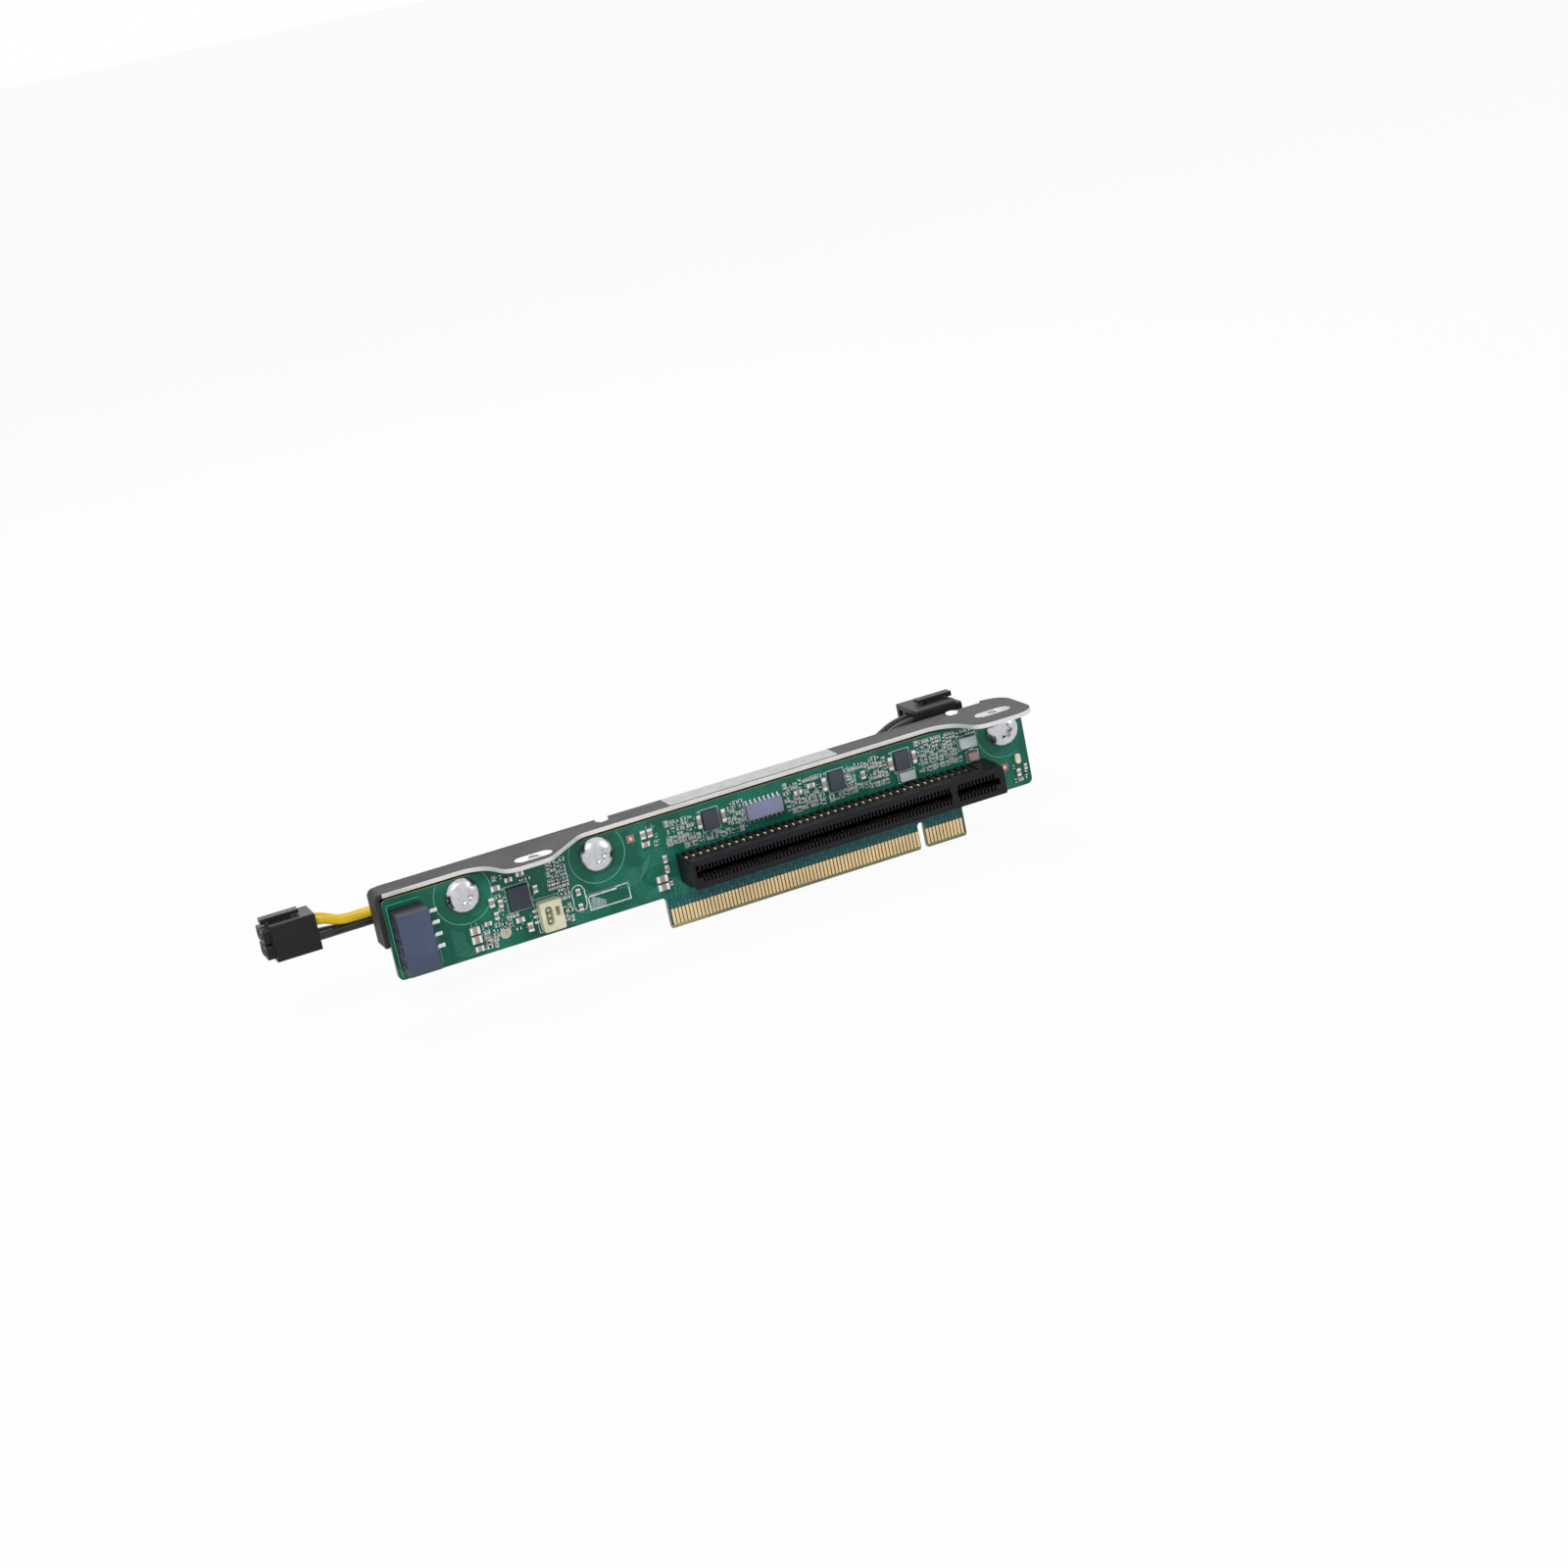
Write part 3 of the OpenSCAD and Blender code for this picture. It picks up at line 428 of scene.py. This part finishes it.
def make_finishes():
    return {
        "board": make_board_finish(),
        "bracket": make_bracket_finish(),
        "gold": make_contact_finish(),
        "header": make_header_finish(),
        "yellow": make_yellow_wire_finish(),
        "insert": metal("zinc_insert", (0.50, 0.51, 0.51), 0.42, metallic=0.8),
        "rivet": metal("bright_rivet", (0.82, 0.82, 0.81), 0.3, metallic=0.85),
        "post": metal("plated_post", (0.66, 0.66, 0.64), 0.32),
        "screw": metal("nickel_screw", (0.56, 0.57, 0.59), 0.2, grain=2600.0, drift=500.0, spread=0.08, scuff=0.35),
        "tin": metal("tin_plating", (0.78, 0.80, 0.81), 0.33, metallic=0.75),
        "spring": metal("spring_contact_gold", (0.80, 0.63, 0.36), 0.35),
        "crimp": metal("crimp_terminal", (0.74, 0.70, 0.58), 0.38),
        "copper": metal("bare_copper_spot", (0.85, 0.55, 0.42), 0.35, metallic=0.7),
        "solder": metal("solder_joint", (0.70, 0.72, 0.73), 0.28, drift=900.0),
        "slot": plastic("black_slot_moulding", (0.006, 0.006, 0.009), 0.42, scuff=0.03, dust=0.02, bump=0.35,
                        specular=0.22),
        "wafer": plastic("cream_header_moulding", (0.66, 0.63, 0.47), 0.45, bump=0.3),
        "dark_chip": plastic("dark_chip_epoxy", (0.022, 0.029, 0.048), 0.45, bump=0.4),
        "grey_chip": plastic("grey_chip_epoxy", (0.042, 0.045, 0.068), 0.5, bump=0.4),
        "pale_chip": plastic("lavender_chip_epoxy", (0.22, 0.235, 0.36), 0.5, bump=0.4),
        "ceramic": plastic("tan_ceramic", (0.36, 0.30, 0.24), 0.5, drift=900.0, spread=0.1),
        "pink_ceramic": plastic("rose_ceramic", (0.42, 0.27, 0.27), 0.5, drift=900.0, spread=0.1),
        "pale_block": plastic("pale_block_moulding", (0.52, 0.58, 0.60), 0.5),
        "lens": plastic("cream_light_lens", (0.84, 0.80, 0.62), 0.2, coat=0.5),
        "black_wire": plastic("black_wire_skin", (0.006, 0.006, 0.006), 0.42, grain=1800.0, bump=0.1, spread=0.05,
                              dust=0.02, coat=0.05),
        "plug": plastic("black_plug_moulding", (0.008, 0.008, 0.008), 0.45, scuff=0.04, dust=0.02, bump=0.4,
                        specular=0.25),
        "clip": plastic("black_clip_moulding", (0.02, 0.02, 0.02), 0.48),
        "print": plastic("white_legend_ink", (0.56, 0.64, 0.65), 0.55, drift=700.0, dust=0.0),
        "print_faint": plastic("faint_legend_ink", (0.14, 0.36, 0.30), 0.5, drift=700.0, dust=0.0),
        "track": plastic("masked_copper_track", (0.012, 0.17, 0.125), 0.32, dust=0.0, coat=0.2),
        "beige": plastic("beige_test_spot", (0.52, 0.50, 0.40), 0.45, dust=0.0),
        "mask_ring": plastic("rose_mask_window", (0.26, 0.16, 0.13), 0.4, dust=0.0),
        "resistor": plastic("black_resistor_glaze", (0.022, 0.03, 0.034), 0.35, dust=0.0),
        "label": plastic("pale_label_paper", (0.50, 0.50, 0.49), 0.6, grain=2400.0, drift=420.0, bump=0.3, dust=0.03),
    }


# ---- CAD nodes: finish and softened corners ----

NODE_FINISH = {
    "bracket": ("bracket", 0.14), "window_inserts": ("insert", 0.1), "flange_rivets": ("rivet", 0),
    "standoffs": ("post", 0.1), "board": ("board", 0), "edge_contacts_front": ("gold", 0),
    "edge_contacts_rear": ("gold", 0), "slot_housing": ("slot", 0.07), "slot_contacts": ("spring", 0),
    "slot_side_tips": ("spring", 0), "mounting_screws": ("screw", 0.12), "power_header": ("header", 0.15),
    "power_header_pins": ("tin", 0.08), "wafer_header": ("wafer", 0.12), "wafer_header_pins": ("tin", 0.05),
    "controller_chip": ("dark_chip", 0.1), "buffer_chip_left": ("grey_chip", 0.1),
    "buffer_chip_middle": ("grey_chip", 0.1), "buffer_chip_right": ("grey_chip", 0.1),
    "driver_chip": ("pale_chip", 0.14), "driver_chip_legs": ("tin", 0.03), "capacitor_bodies": ("ceramic", 0.05),
    "capacitor_ends": ("tin", 0.06), "power_inductor": ("pale_block", 0.12), "filter_block": ("pale_block", 0.12),
    "tan_capacitor": ("pink_ceramic", 0.1), "status_light": ("lens", 0.12), "left_plug": ("plug", 0.16),
    "right_plug": ("plug", 0.16), "left_plug_terminals": ("crimp", 0.05), "right_plug_terminals": ("crimp", 0.05),
    "cable_clips": ("clip", 0.12), "wire_yellow_upper": ("yellow", -1), "wire_yellow_rear": ("yellow", -1),
    "wire_black_lower": ("black_wire", -1), "wire_black_rear": ("black_wire", -1),
}


SHARP_ANGLE = math.radians(32)
BEVEL_ANGLE = math.radians(35)
WELD_M = 0.000002


def dress_nodes():
    """Gives each node its material and softened corners; a corner below 0 rounds the whole piece."""
    for name, (finish, corner) in NODE_FINISH.items():
        part = nodes[name]
        part.data.materials.clear()
        part.data.materials.append(finishes[finish])
        if part.data.has_custom_normals:
            with bpy.context.temp_override(object=part, active_object=part, selected_objects=[part]):
                bpy.ops.mesh.customdata_custom_splitnormals_clear()
        for face in part.data.polygons:
            face.use_smooth = True
        part.data.set_sharp_from_angle(angle=SHARP_ANGLE)
        if corner == 0:
            continue
        weld = part.modifiers.new("weld", "WELD")
        weld.merge_threshold = WELD_M
        if corner < 0:
            round_off = part.modifiers.new("round", "SUBSURF")
            round_off.levels = round_off.render_levels = 2
        else:
            bevel = part.modifiers.new("corners", "BEVEL")
            bevel.width = corner / 1000
            bevel.segments = 2
            bevel.limit_method = "ANGLE"
            bevel.angle_limit = BEVEL_ANGLE
            part.modifiers.new("even", "WEIGHTED_NORMAL").keep_sharp = True


# ---- making new pieces ----

class Shape:
    """Collects prisms, rings and strips into one mesh; y runs back from the board's face."""

    def __init__(self):
        self.points, self.faces = [], []

    def prism(self, outline, y0, y1, inset=0.0):
        """Outline in x and z, from y0 (towards the viewer) to y1; inset draws the near face in."""
        n, first = len(outline), len(self.points)
        cx = sum(p[0] for p in outline) / n
        cz = sum(p[1] for p in outline) / n
        for x, z in outline:
            dx, dz = x - cx, z - cz
            r = math.hypot(dx, dz) or 1
            self.points.append(at(x - dx / r * inset, y0, z - dz / r * inset))
        self.points += [at(x, y1, z) for x, z in outline]
        self.faces.append([first + i for i in range(n)])
        self.faces.append([first + n + i for i in reversed(range(n))])
        for i in range(n):
            j = (i + 1) % n
            self.faces.append([first + j, first + i, first + n + i, first + n + j])

    def box(self, x0, x1, z0, z1, y0, y1, inset=0.0):
        self.prism([(x0, z0), (x1, z0), (x1, z1), (x0, z1)], y0, y1, inset)

    def disc(self, x, z, r, y0, y1, n=20, inset=0.0):
        turns = [2 * math.pi * i / n for i in range(n)]
        self.prism([(x + r * math.cos(t), z + r * math.sin(t)) for t in turns], y0, y1, inset)

    def ring(self, x, z, r, width, y0, y1, n=48, start=0.0, sweep=360.0):
        steps = [math.radians(start + sweep * i / n) for i in range(n + 1)]
        for a, b in zip(steps, steps[1:]):
            corners = ((r, a), (r, b), (r - width, b), (r - width, a))
            self.prism([(x + q * math.cos(t), z + q * math.sin(t)) for q, t in corners], y0, y1)

    def line(self, route, width, y0, y1):
        for (ax, az), (bx, bz) in zip(route, route[1:]):
            length = math.hypot(bx - ax, bz - az) or 1
            ux, uz = (bx - ax) / length * width / 2, (bz - az) / length * width / 2
            self.prism([(ax - ux + uz, az - uz - ux), (bx + ux + uz, bz + uz - ux),
                        (bx + ux - uz, bz + uz + ux), (ax - ux - uz, az - uz + ux)], y0, y1)

    def frame(self, x0, x1, z0, z1, width, y0, y1):
        self.line([(x0, z0), (x1, z0)], width, y0, y1)
        self.line([(x0, z1), (x1, z1)], width, y0, y1)
        self.line([(x0, z0 + width), (x0, z1 - width)], width, y0, y1)
        self.line([(x1, z0 + width), (x1, z1 - width)], width, y0, y1)

    def make(self, name, finish, slot, corner=0.0):
        mesh = bpy.data.meshes.new(name)
        mesh.from_pydata(self.points, [], self.faces)
        mesh.validate()
        mesh.materials.append(finishes[finish])
        piece = bpy.data.objects.new(name, mesh)
        bpy.context.scene.collection.objects.link(piece)
        if corner:
            bevel = piece.modifiers.new("corners", "BEVEL")
            bevel.width = corner / 1000
            bevel.segments = 2
            bevel.limit_method = "ANGLE"
        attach(piece, "root")


# ---- the board's small parts, print and copper ----

INK = (-0.02, 0.0)  # near and far y of printed marks
SCREW_GAP = 12  # points of the screws' mesh further apart than this belong to different screws
SCREW_CLEAR = 8.3
BORDER_CLEAR = 0.5
MARKED_CHIPS = ("controller_chip", "buffer_chip_left", "buffer_chip_middle", "buffer_chip_right")
BODY_HALF = 0.27  # a small part's body reaches this share of its length either side of its middle


def screw_places():
    """The three screw centres, read from the screws' own mesh."""
    xs = sorted(drawn(v.co)[0] for v in nodes["mounting_screws"].data.vertices)
    groups_of = [[xs[0]]]
    for x in xs[1:]:
        if x - groups_of[-1][-1] > SCREW_GAP:
            groups_of.append([])
        groups_of[-1].append(x)
    low, high = drawn_box("mounting_screws")
    return [((min(g) + max(g)) / 2, (low[2] + high[2]) / 2) for g in groups_of]


def front_rects(node, margin):
    """The outlines of a node's faces that look out of the board, each grown by margin."""
    found = []
    part = nodes[node]
    for face in part.data.polygons:
        if face.normal.y < -0.9:
            corners = [drawn(part.data.vertices[i].co) for i in face.vertices]
            xs, zs = [c[0] for c in corners], [c[2] for c in corners]
            found.append((min(xs) - margin, max(xs) + margin, min(zs) - margin, max(zs) + margin))
    return found


def taken_places():
    """Rectangles that the CAD pieces on the board's face already hold."""
    taken = []
    for node in ("capacitor_bodies", "capacitor_ends"):
        taken += front_rects(node, 0.25)
    for node in MARKED_CHIPS + ("power_inductor", "filter_block", "tan_capacitor", "status_light",
                                "wafer_header", "power_header"):
        low, high = drawn_box(node)
        taken.append((low[0] - 0.35, high[0] + 0.35, low[2] - 0.35, high[2] + 0.35))
    for node, reach in (("driver_chip_legs", 0.3), ("wafer_header_pins", 0.2), ("power_header_pins", 0.3),
                        ("slot_housing", 0.5)):
        low, high = drawn_box(node)
        taken.append((low[0] - reach, high[0] + reach, low[2] - reach, high[2] + reach))
    return taken


def clear_of(rect, taken, screws):
    """Whether a rectangle meets nothing that is taken, no screw's ring, and stays off the board's top and right
    borders.
    """
    x0, x1, z0, z1 = rect
    for a0, a1, b0, b1 in taken:
        if x0 < a1 and x1 > a0 and z0 < b1 and z1 > b0:
            return False
    cx, cz = (x0 + x1) / 2, (z0 + z1) / 2
    if any(math.hypot(cx - sx, cz - sz) < SCREW_CLEAR for sx, sz in screws):
        return False
    return z1 < BOARD_TOP - BORDER_CLEAR and x1 < BOARD_RIGHT - BORDER_CLEAR


# x0, x1, z0, z1, share filled, share of printed outlines, pitch along, pitch up
CLUSTERS = [
    (-52.5, -44.8, 9.6, 17.6, 0.9, 0.7, 1.9, 1.25),
    (-45.5, -32.8, 12.0, 27.4, 0.85, 0.75, 1.7, 1.2),
    (-29.6, -23.8, 19.6, 27.6, 0.95, 0.9, 1.35, 0.95),
    (-27.6, -24.4, 10.4, 19.4, 0.8, 0.7, 1.5, 1.15),
    (-4.1, 1.3, 22.9, 28.5, 0.95, 0.95, 1.3, 0.95),
    (0.7, 3.1, 14.2, 19.9, 0.9, 0.7, 1.3, 1.0),
    (-2.8, 2.4, 10.4, 15.6, 0.9, 0.9, 1.4, 1.05),
    (3.2, 12.2, 21.4, 27.8, 0.85, 0.8, 1.6, 1.1),
    (7.6, 25.0, 19.9, 22.1, 0.95, 0.6, 1.3, 0.95),
    (20.2, 25.6, 22.0, 28.4, 0.9, 0.9, 1.3, 1.0),
    (36.6, 48.0, 20.2, 28.2, 0.9, 0.9, 1.4, 1.0),
    (54.2, 67.0, 20.4, 28.2, 0.9, 0.9, 1.35, 1.0),
    (49.0, 54.4, 19.9, 22.4, 0.9, 0.7, 1.4, 1.0),
    (74.8, 87.4, 20.3, 28.6, 0.92, 0.9, 1.3, 0.95),
    (86.6, 93.6, 22.0, 28.4, 0.6, 0.6, 1.5, 1.1),
    (100.6, 105.6, 9.8, 15.4, 0.6, 0.5, 1.7, 1.3),
]


def add_small_part(body, ends, x, z, w, h, tall, upright):
    """One small resistor or capacitor: its body and a tinned end on either side of it."""
    if upright:
        body.box(x - w / 2, x + w / 2, z - h * BODY_HALF, z + h * BODY_HALF, -tall, 0, 0.03)
        ends.box(x - w / 2, x + w / 2, z + h * BODY_HALF, z + h / 2, -tall, 0, 0.03)
        ends.box(x - w / 2, x + w / 2, z - h / 2, z - h * BODY_HALF, -tall, 0, 0.03)
    else:
        body.box(x - w * BODY_HALF, x + w * BODY_HALF, z - h / 2, z + h / 2, -tall, 0, 0.03)
        ends.box(x - w / 2, x - w * BODY_HALF, z - h / 2, z + h / 2, -tall, 0, 0.03)
        ends.box(x + w * BODY_HALF, x + w / 2, z - h / 2, z + h / 2, -tall, 0, 0.03)


def small_parts():
    """The crowd of small resistors and capacitors with their printed outlines, cluster by cluster."""
    rng = random.Random(41)
    taken, screws = taken_places(), screw_places()
    dark, tan, ends, ink, pale = Shape(), Shape(), Shape(), Shape(), Shape()
    for x0, x1, z0, z1, filled, outlined, step_x, step_z in CLUSTERS:
        z = z0 + step_z / 2
        while z < z1:
            x = x0 + step_x / 2 + rng.uniform(0, 0.25)
            while x < x1:
                upright = rng.random() < 0.35
                length, width = (1.0, 0.52) if rng.random() < 0.75 else (1.25, 0.7)
                if upright:
                    w, h = min(width, step_x - 0.3), min(length, step_z + 0.1)
                else:
                    w, h = min(length, step_x - 0.25), min(width, step_z - 0.3)
                rect = (x - w / 2 - 0.12, x + w / 2 + 0.12, z - h / 2 - 0.12, z + h / 2 + 0.12)
                if rng.random() < filled and clear_of(rect, taken, screws):
                    taken.append(rect)
                    tall = rng.uniform(0.3, 0.5)
                    body = dark if rng.random() < 0.45 else tan
                    add_small_part(body, ends, x, z, w, h, tall, upright)
                    if rng.random() < outlined:
                        ink.frame(x - w / 2 - 0.18, x + w / 2 + 0.18,
                                  z - h / 2 - 0.18, z + h / 2 + 0.18, 0.13, *INK)
                elif rng.random() < 0.6 and clear_of(rect, taken, screws):
                    pale.disc(x, z, 0.22, *INK, n=10)
                x += step_x
            z += step_z
    dark.make("small_resistors", "resistor", "dark_chip")
    tan.make("small_capacitors", "ceramic", "ceramic_bodies")
    ends.make("small_part_ends", "tin", "tinned_ends")
    ink.make("small_part_outlines", "print", "pale_blocks")
    pale.make("plated_vias", "tin", "tinned_ends")


KEEP_OUT_R = 7.6
STROKE_CLEAR = 8.2
# x0, x1, z0, z1, number of strokes
STROKE_FIELDS = [
    (83.2, 86.2, 20.8, 28.4, 46),
    (-29.0, -24.2, 20.2, 27.2, 40),
    (-3.8, 1.0, 23.2, 28.0, 20),
    (37.0, 48.0, 20.4, 28.0, 60),
    (54.5, 67.0, 20.6, 28.0, 70),
    (75.0, 83.0, 20.6, 28.2, 44),
    (20.4, 25.4, 22.2, 28.2, 26),
    (3.4, 12.0, 21.6, 27.6, 34),
    (-45.0, -33.0, 12.2, 27.2, 50),
    (-52.4, -45.0, 9.8, 17.4, 30),
    (8.0, 25.0, 20.0, 22.0, 30),
]


def printed_legend():
    """Keep-out rings, borders and boxes printed on the board's face."""
    ink, faint = Shape(), Shape()
    screws = screw_places()
    for x, z in screws:
        start, sweep = (128, 170) if x > BOARD_RIGHT - 8 else (146, 248)
        faint.ring(x, z, KEEP_OUT_R, 0.2, *INK, n=60, start=start, sweep=sweep)
    left, top = -BOARD_LEFT, BOARD_TOP
    faint.line([(left + 1.0, 9.7), (left + 1.0, top - 1.5), (left + 9.6, top - 1.5)], 0.2, *INK)
    faint.line([(left + 11.8, 9.9), (left + 11.8, 17.8)], 0.2, *INK)
    # empty rating box and the hatched patch beside it
    ink.frame(-20.0, -9.0, 11.4, 15.5, 0.35, *INK)
    ink.line([(-20.0, 15.2), (-12.6, 15.2)], 0.8, *INK)
    for i in range(12):
        ink.line([(-19.8 + 0.36 * i, 11.6), (-19.0 + 0.3 * i, 14.8 - 0.16 * i)], 0.14, *INK)
    # long pad outline with two round ends
    ink.ring(-22.3, 17.3, 1.7, 0.3, *INK, n=24, start=0, sweep=180)
    ink.ring(-22.3, 13.3, 1.7, 0.3, *INK, n=24, start=180, sweep=180)
    ink.line([(-24.0, 13.3), (-24.0, 17.3)], 0.3, *INK)
    ink.line([(-20.6, 13.3), (-20.6, 17.3)], 0.3, *INK)
    # marks round the larger chips, and their first-contact spots
    for node in MARKED_CHIPS + ("driver_chip", "wafer_header", "power_inductor", "filter_block", "tan_capacitor"):
        low, high = drawn_box(node)
        m = 0.45 if node != "driver_chip" else 0.2
        ink.frame(low[0] - m, high[0] + m, low[2] - m, high[2] + m, 0.16, *INK)
    for node in MARKED_CHIPS:
        low, high = drawn_box(node)
        ink.disc(low[0] - 0.9, high[2] + 0.2, 0.24, *INK, n=12)
    # short printed strokes, the densest in a light band near the right end
    rng = random.Random(9)
    for x0, x1, z0, z1, count in STROKE_FIELDS:
        for _ in range(count):
            x, z = rng.uniform(x0, x1), rng.uniform(z0, z1)
            if any(math.hypot(x - sx, z - sz) < STROKE_CLEAR for sx, sz in screws):
                continue
            if rng.random() < 0.5:
                ink.line([(x, z), (x + rng.uniform(0.3, 0.8), z)], 0.14, *INK)
            else:
                ink.line([(x, z), (x, z + rng.uniform(0.3, 0.8))], 0.14, *INK)
    ink.make("legend_print", "print", "pale_blocks")
    faint.make("border_print", "print_faint", "pale_blocks")


def copper_work():
    """Sighting spots, test spots, and the tracks that rise from the contacts to the slot."""
    windows, spots, beige, tracks = Shape(), Shape(), Shape(), Shape()
    for x, z in ((-47.2, 11.7), (-5.8, 26.4), (99.2, 14.9)):
        windows.box(x - 1.05, x + 1.05, z - 1.05, z + 1.05, -0.012, 0)
        spots.disc(x, z, 0.5, -0.04, 0, n=24)
    beige.disc(-42.9, 12.5, 1.5, -0.03, 0, n=32)
    slot_low = drawn_box("slot_housing")[0]
    rng = random.Random(5)
    pads = sorted({round((f[0] + f[1]) / 2, 2) for f in front_rects("edge_contacts_front", 0)})
    pads = [p for i, p in enumerate(pads) if i == 0 or p - pads[i - 1] > 0.4]
    top = drawn_box("edge_contacts_front")[1][2]
    for i, x in enumerate(pads):
        if i % 3 == 2:
            tracks.line([(x, top), (x, top + 1.1)], 0.5, -0.03, 0)
            continue
        shift = 0.9 if i % 2 else 0.6
        knee = top + 1.6 + 0.5 * (i % 3)
        route = [(x, top), (x, knee), (x + shift, knee + shift), (x + shift, slot_low[2] + 0.6)]
        if x + shift < 84.2 and not (71.0 < x + shift < 74.0):
            tracks.line(route, 0.24, -0.03, 0)
    # buses that leave the slot's left end and cross the left wing
    for i in range(7):
        z = 21.6 - i * 0.62
        route = [(4.6, z), (-1.0 - 0.3 * i, z), (-4.4 - 0.3 * i, z - 3.2), (-8.6 - 0.5 * i, z - 3.2)]
        tracks.line(route, 0.24, -0.02, 0)
    for i in range(5):
        z = 9.6 + i * 0.5
        tracks.line([(-6.0 + i * 0.7, z), (-1.0, z), (0.6, z + 1.6), (4.6, z + 1.6)], 0.22, -0.02, 0)
    for i in range(4):
        z = 9.5 + i * 0.45
        tracks.line([(-33.0, z), (-22.0 - i, z), (-20.6 - i, z + 1.0), (-20.2, z + 1.0)], 0.2, -0.02, 0)
    for i in range(6):
        x = -56.2 + i * 0.55
        low = 9.6 + 0.3 * i
        route = [(x, 17.2 - 0.3 * i), (x, 11.0 + 0.3 * i), (x + 1.6, low), (x + 6.0 - i * 0.5, low)]
        tracks.line(route, 0.2, -0.02, 0)
    windows.make("sighting_windows", "mask_ring", "green_board")
    spots.make("sighting_spots", "copper", "gold_contacts")
    beige.make("test_spot", "beige", "pale_blocks")
    tracks.make("masked_tracks", "track", "green_board")
    vias = Shape()
    screws, taken = screw_places(), taken_places()
    for _ in range(420):
        x, z = rng.uniform(-58, BOARD_RIGHT - 2), rng.uniform(9.8, BOARD_TOP - 1.4)
        if clear_of((x - 0.3, x + 0.3, z - 0.3, z + 0.3), taken, screws):
            vias.ring(x, z, 0.27, 0.12, -0.025, 0, n=10)
            taken.append((x - 0.5, x + 0.5, z - 0.5, z + 0.5))
    vias.make("via_rims", "track", "green_board")


def flange_label():
    """The bare pale strip stuck along the flange; it carries nothing."""
    shape = Shape()
    x0, x1, y0, y1, r = 6.5, 54.0, 0.45, 8.05, 0.8
    thickness, steps = 0.1, 6
    outline = []
    for cx, cy, turn in ((x1 - r, y1 - r, 0), (x0 + r, y1 - r, 90), (x0 + r, y0 + r, 180), (x1 - r, y0 + r, 270)):
        angles = [math.radians(turn + 90 / steps * k) for k in range(steps + 1)]
        outline += [(cx + r * math.cos(t), cy + r * math.sin(t)) for t in angles]
    n = len(outline)
    shape.points = [at(x, y, FLANGE_TOP + thickness) for x, y in outline]
    shape.points += [at(x, y, FLANGE_TOP) for x, y in outline]
    shape.faces = [list(range(n)), [n + i for i in reversed(range(n))]]
    shape.faces += [[(i + 1) % n, i, n + i, n + (i + 1) % n] for i in range(n)]
    shape.make("flange_label", "label", "pale_blocks", 0.03)


CONTACT_PITCH = 1.0
KEY_END = 14.8  # from the slot's key to its right end
KEY_CLEAR = 1.6
JOINT_ROW = 1.9  # from the slot's middle line to each row of joints
JOINT_TOP = 0.4  # a cone's tip, as a share of its foot


def rear_solder():
    """Solder cones where the slot's contacts come through to the board's rear."""
    joints = Shape()
    low, high = drawn_box("slot_contacts")
    mid = (low[2] + high[2]) / 2
    key = drawn_box("slot_housing")[1][0] - KEY_END
    foot, tip = BOARD_BACK + 0.08, BOARD_BACK + 0.75
    turns = [math.radians(45 * k) for k in range(8)]
    x = low[0] + 0.25
    while x < high[0]:
        if abs(x - key) >= KEY_CLEAR:
            for z in (mid - JOINT_ROW, mid + JOINT_ROW):
                joints.disc(x, z, 0.42, BOARD_BACK, foot, n=10)
                cone = [(x + 0.3 * math.cos(t), z + 0.3 * math.sin(t)) for t in turns]
                first = len(joints.points)
                joints.points += [at(px, foot, pz) for px, pz in cone]
                joints.points += [at(x + (px - x) * JOINT_TOP, tip, z + (pz - z) * JOINT_TOP) for px, pz in cone]
                for k in range(8):
                    after = first + (k + 1) % 8
                    joints.faces.append([first + k, after, after + 8, first + 8 + k])
                joints.faces.append([first + 8 + k for k in range(8)])
        x += CONTACT_PITCH
    joints.make("slot_solder_joints", "solder", "tinned_pins")


make_camera()
make_world()
make_lights()
make_floor()
groups = {"grain": make_grain_group(), "scuffs": make_scuff_group(), "dust": make_dust_group()}
finishes = make_finishes()
dress_nodes()
small_parts()
printed_legend()
copper_work()
flange_label()
rear_solder()

bpy.context.scene.view_settings.view_transform = "Standard"
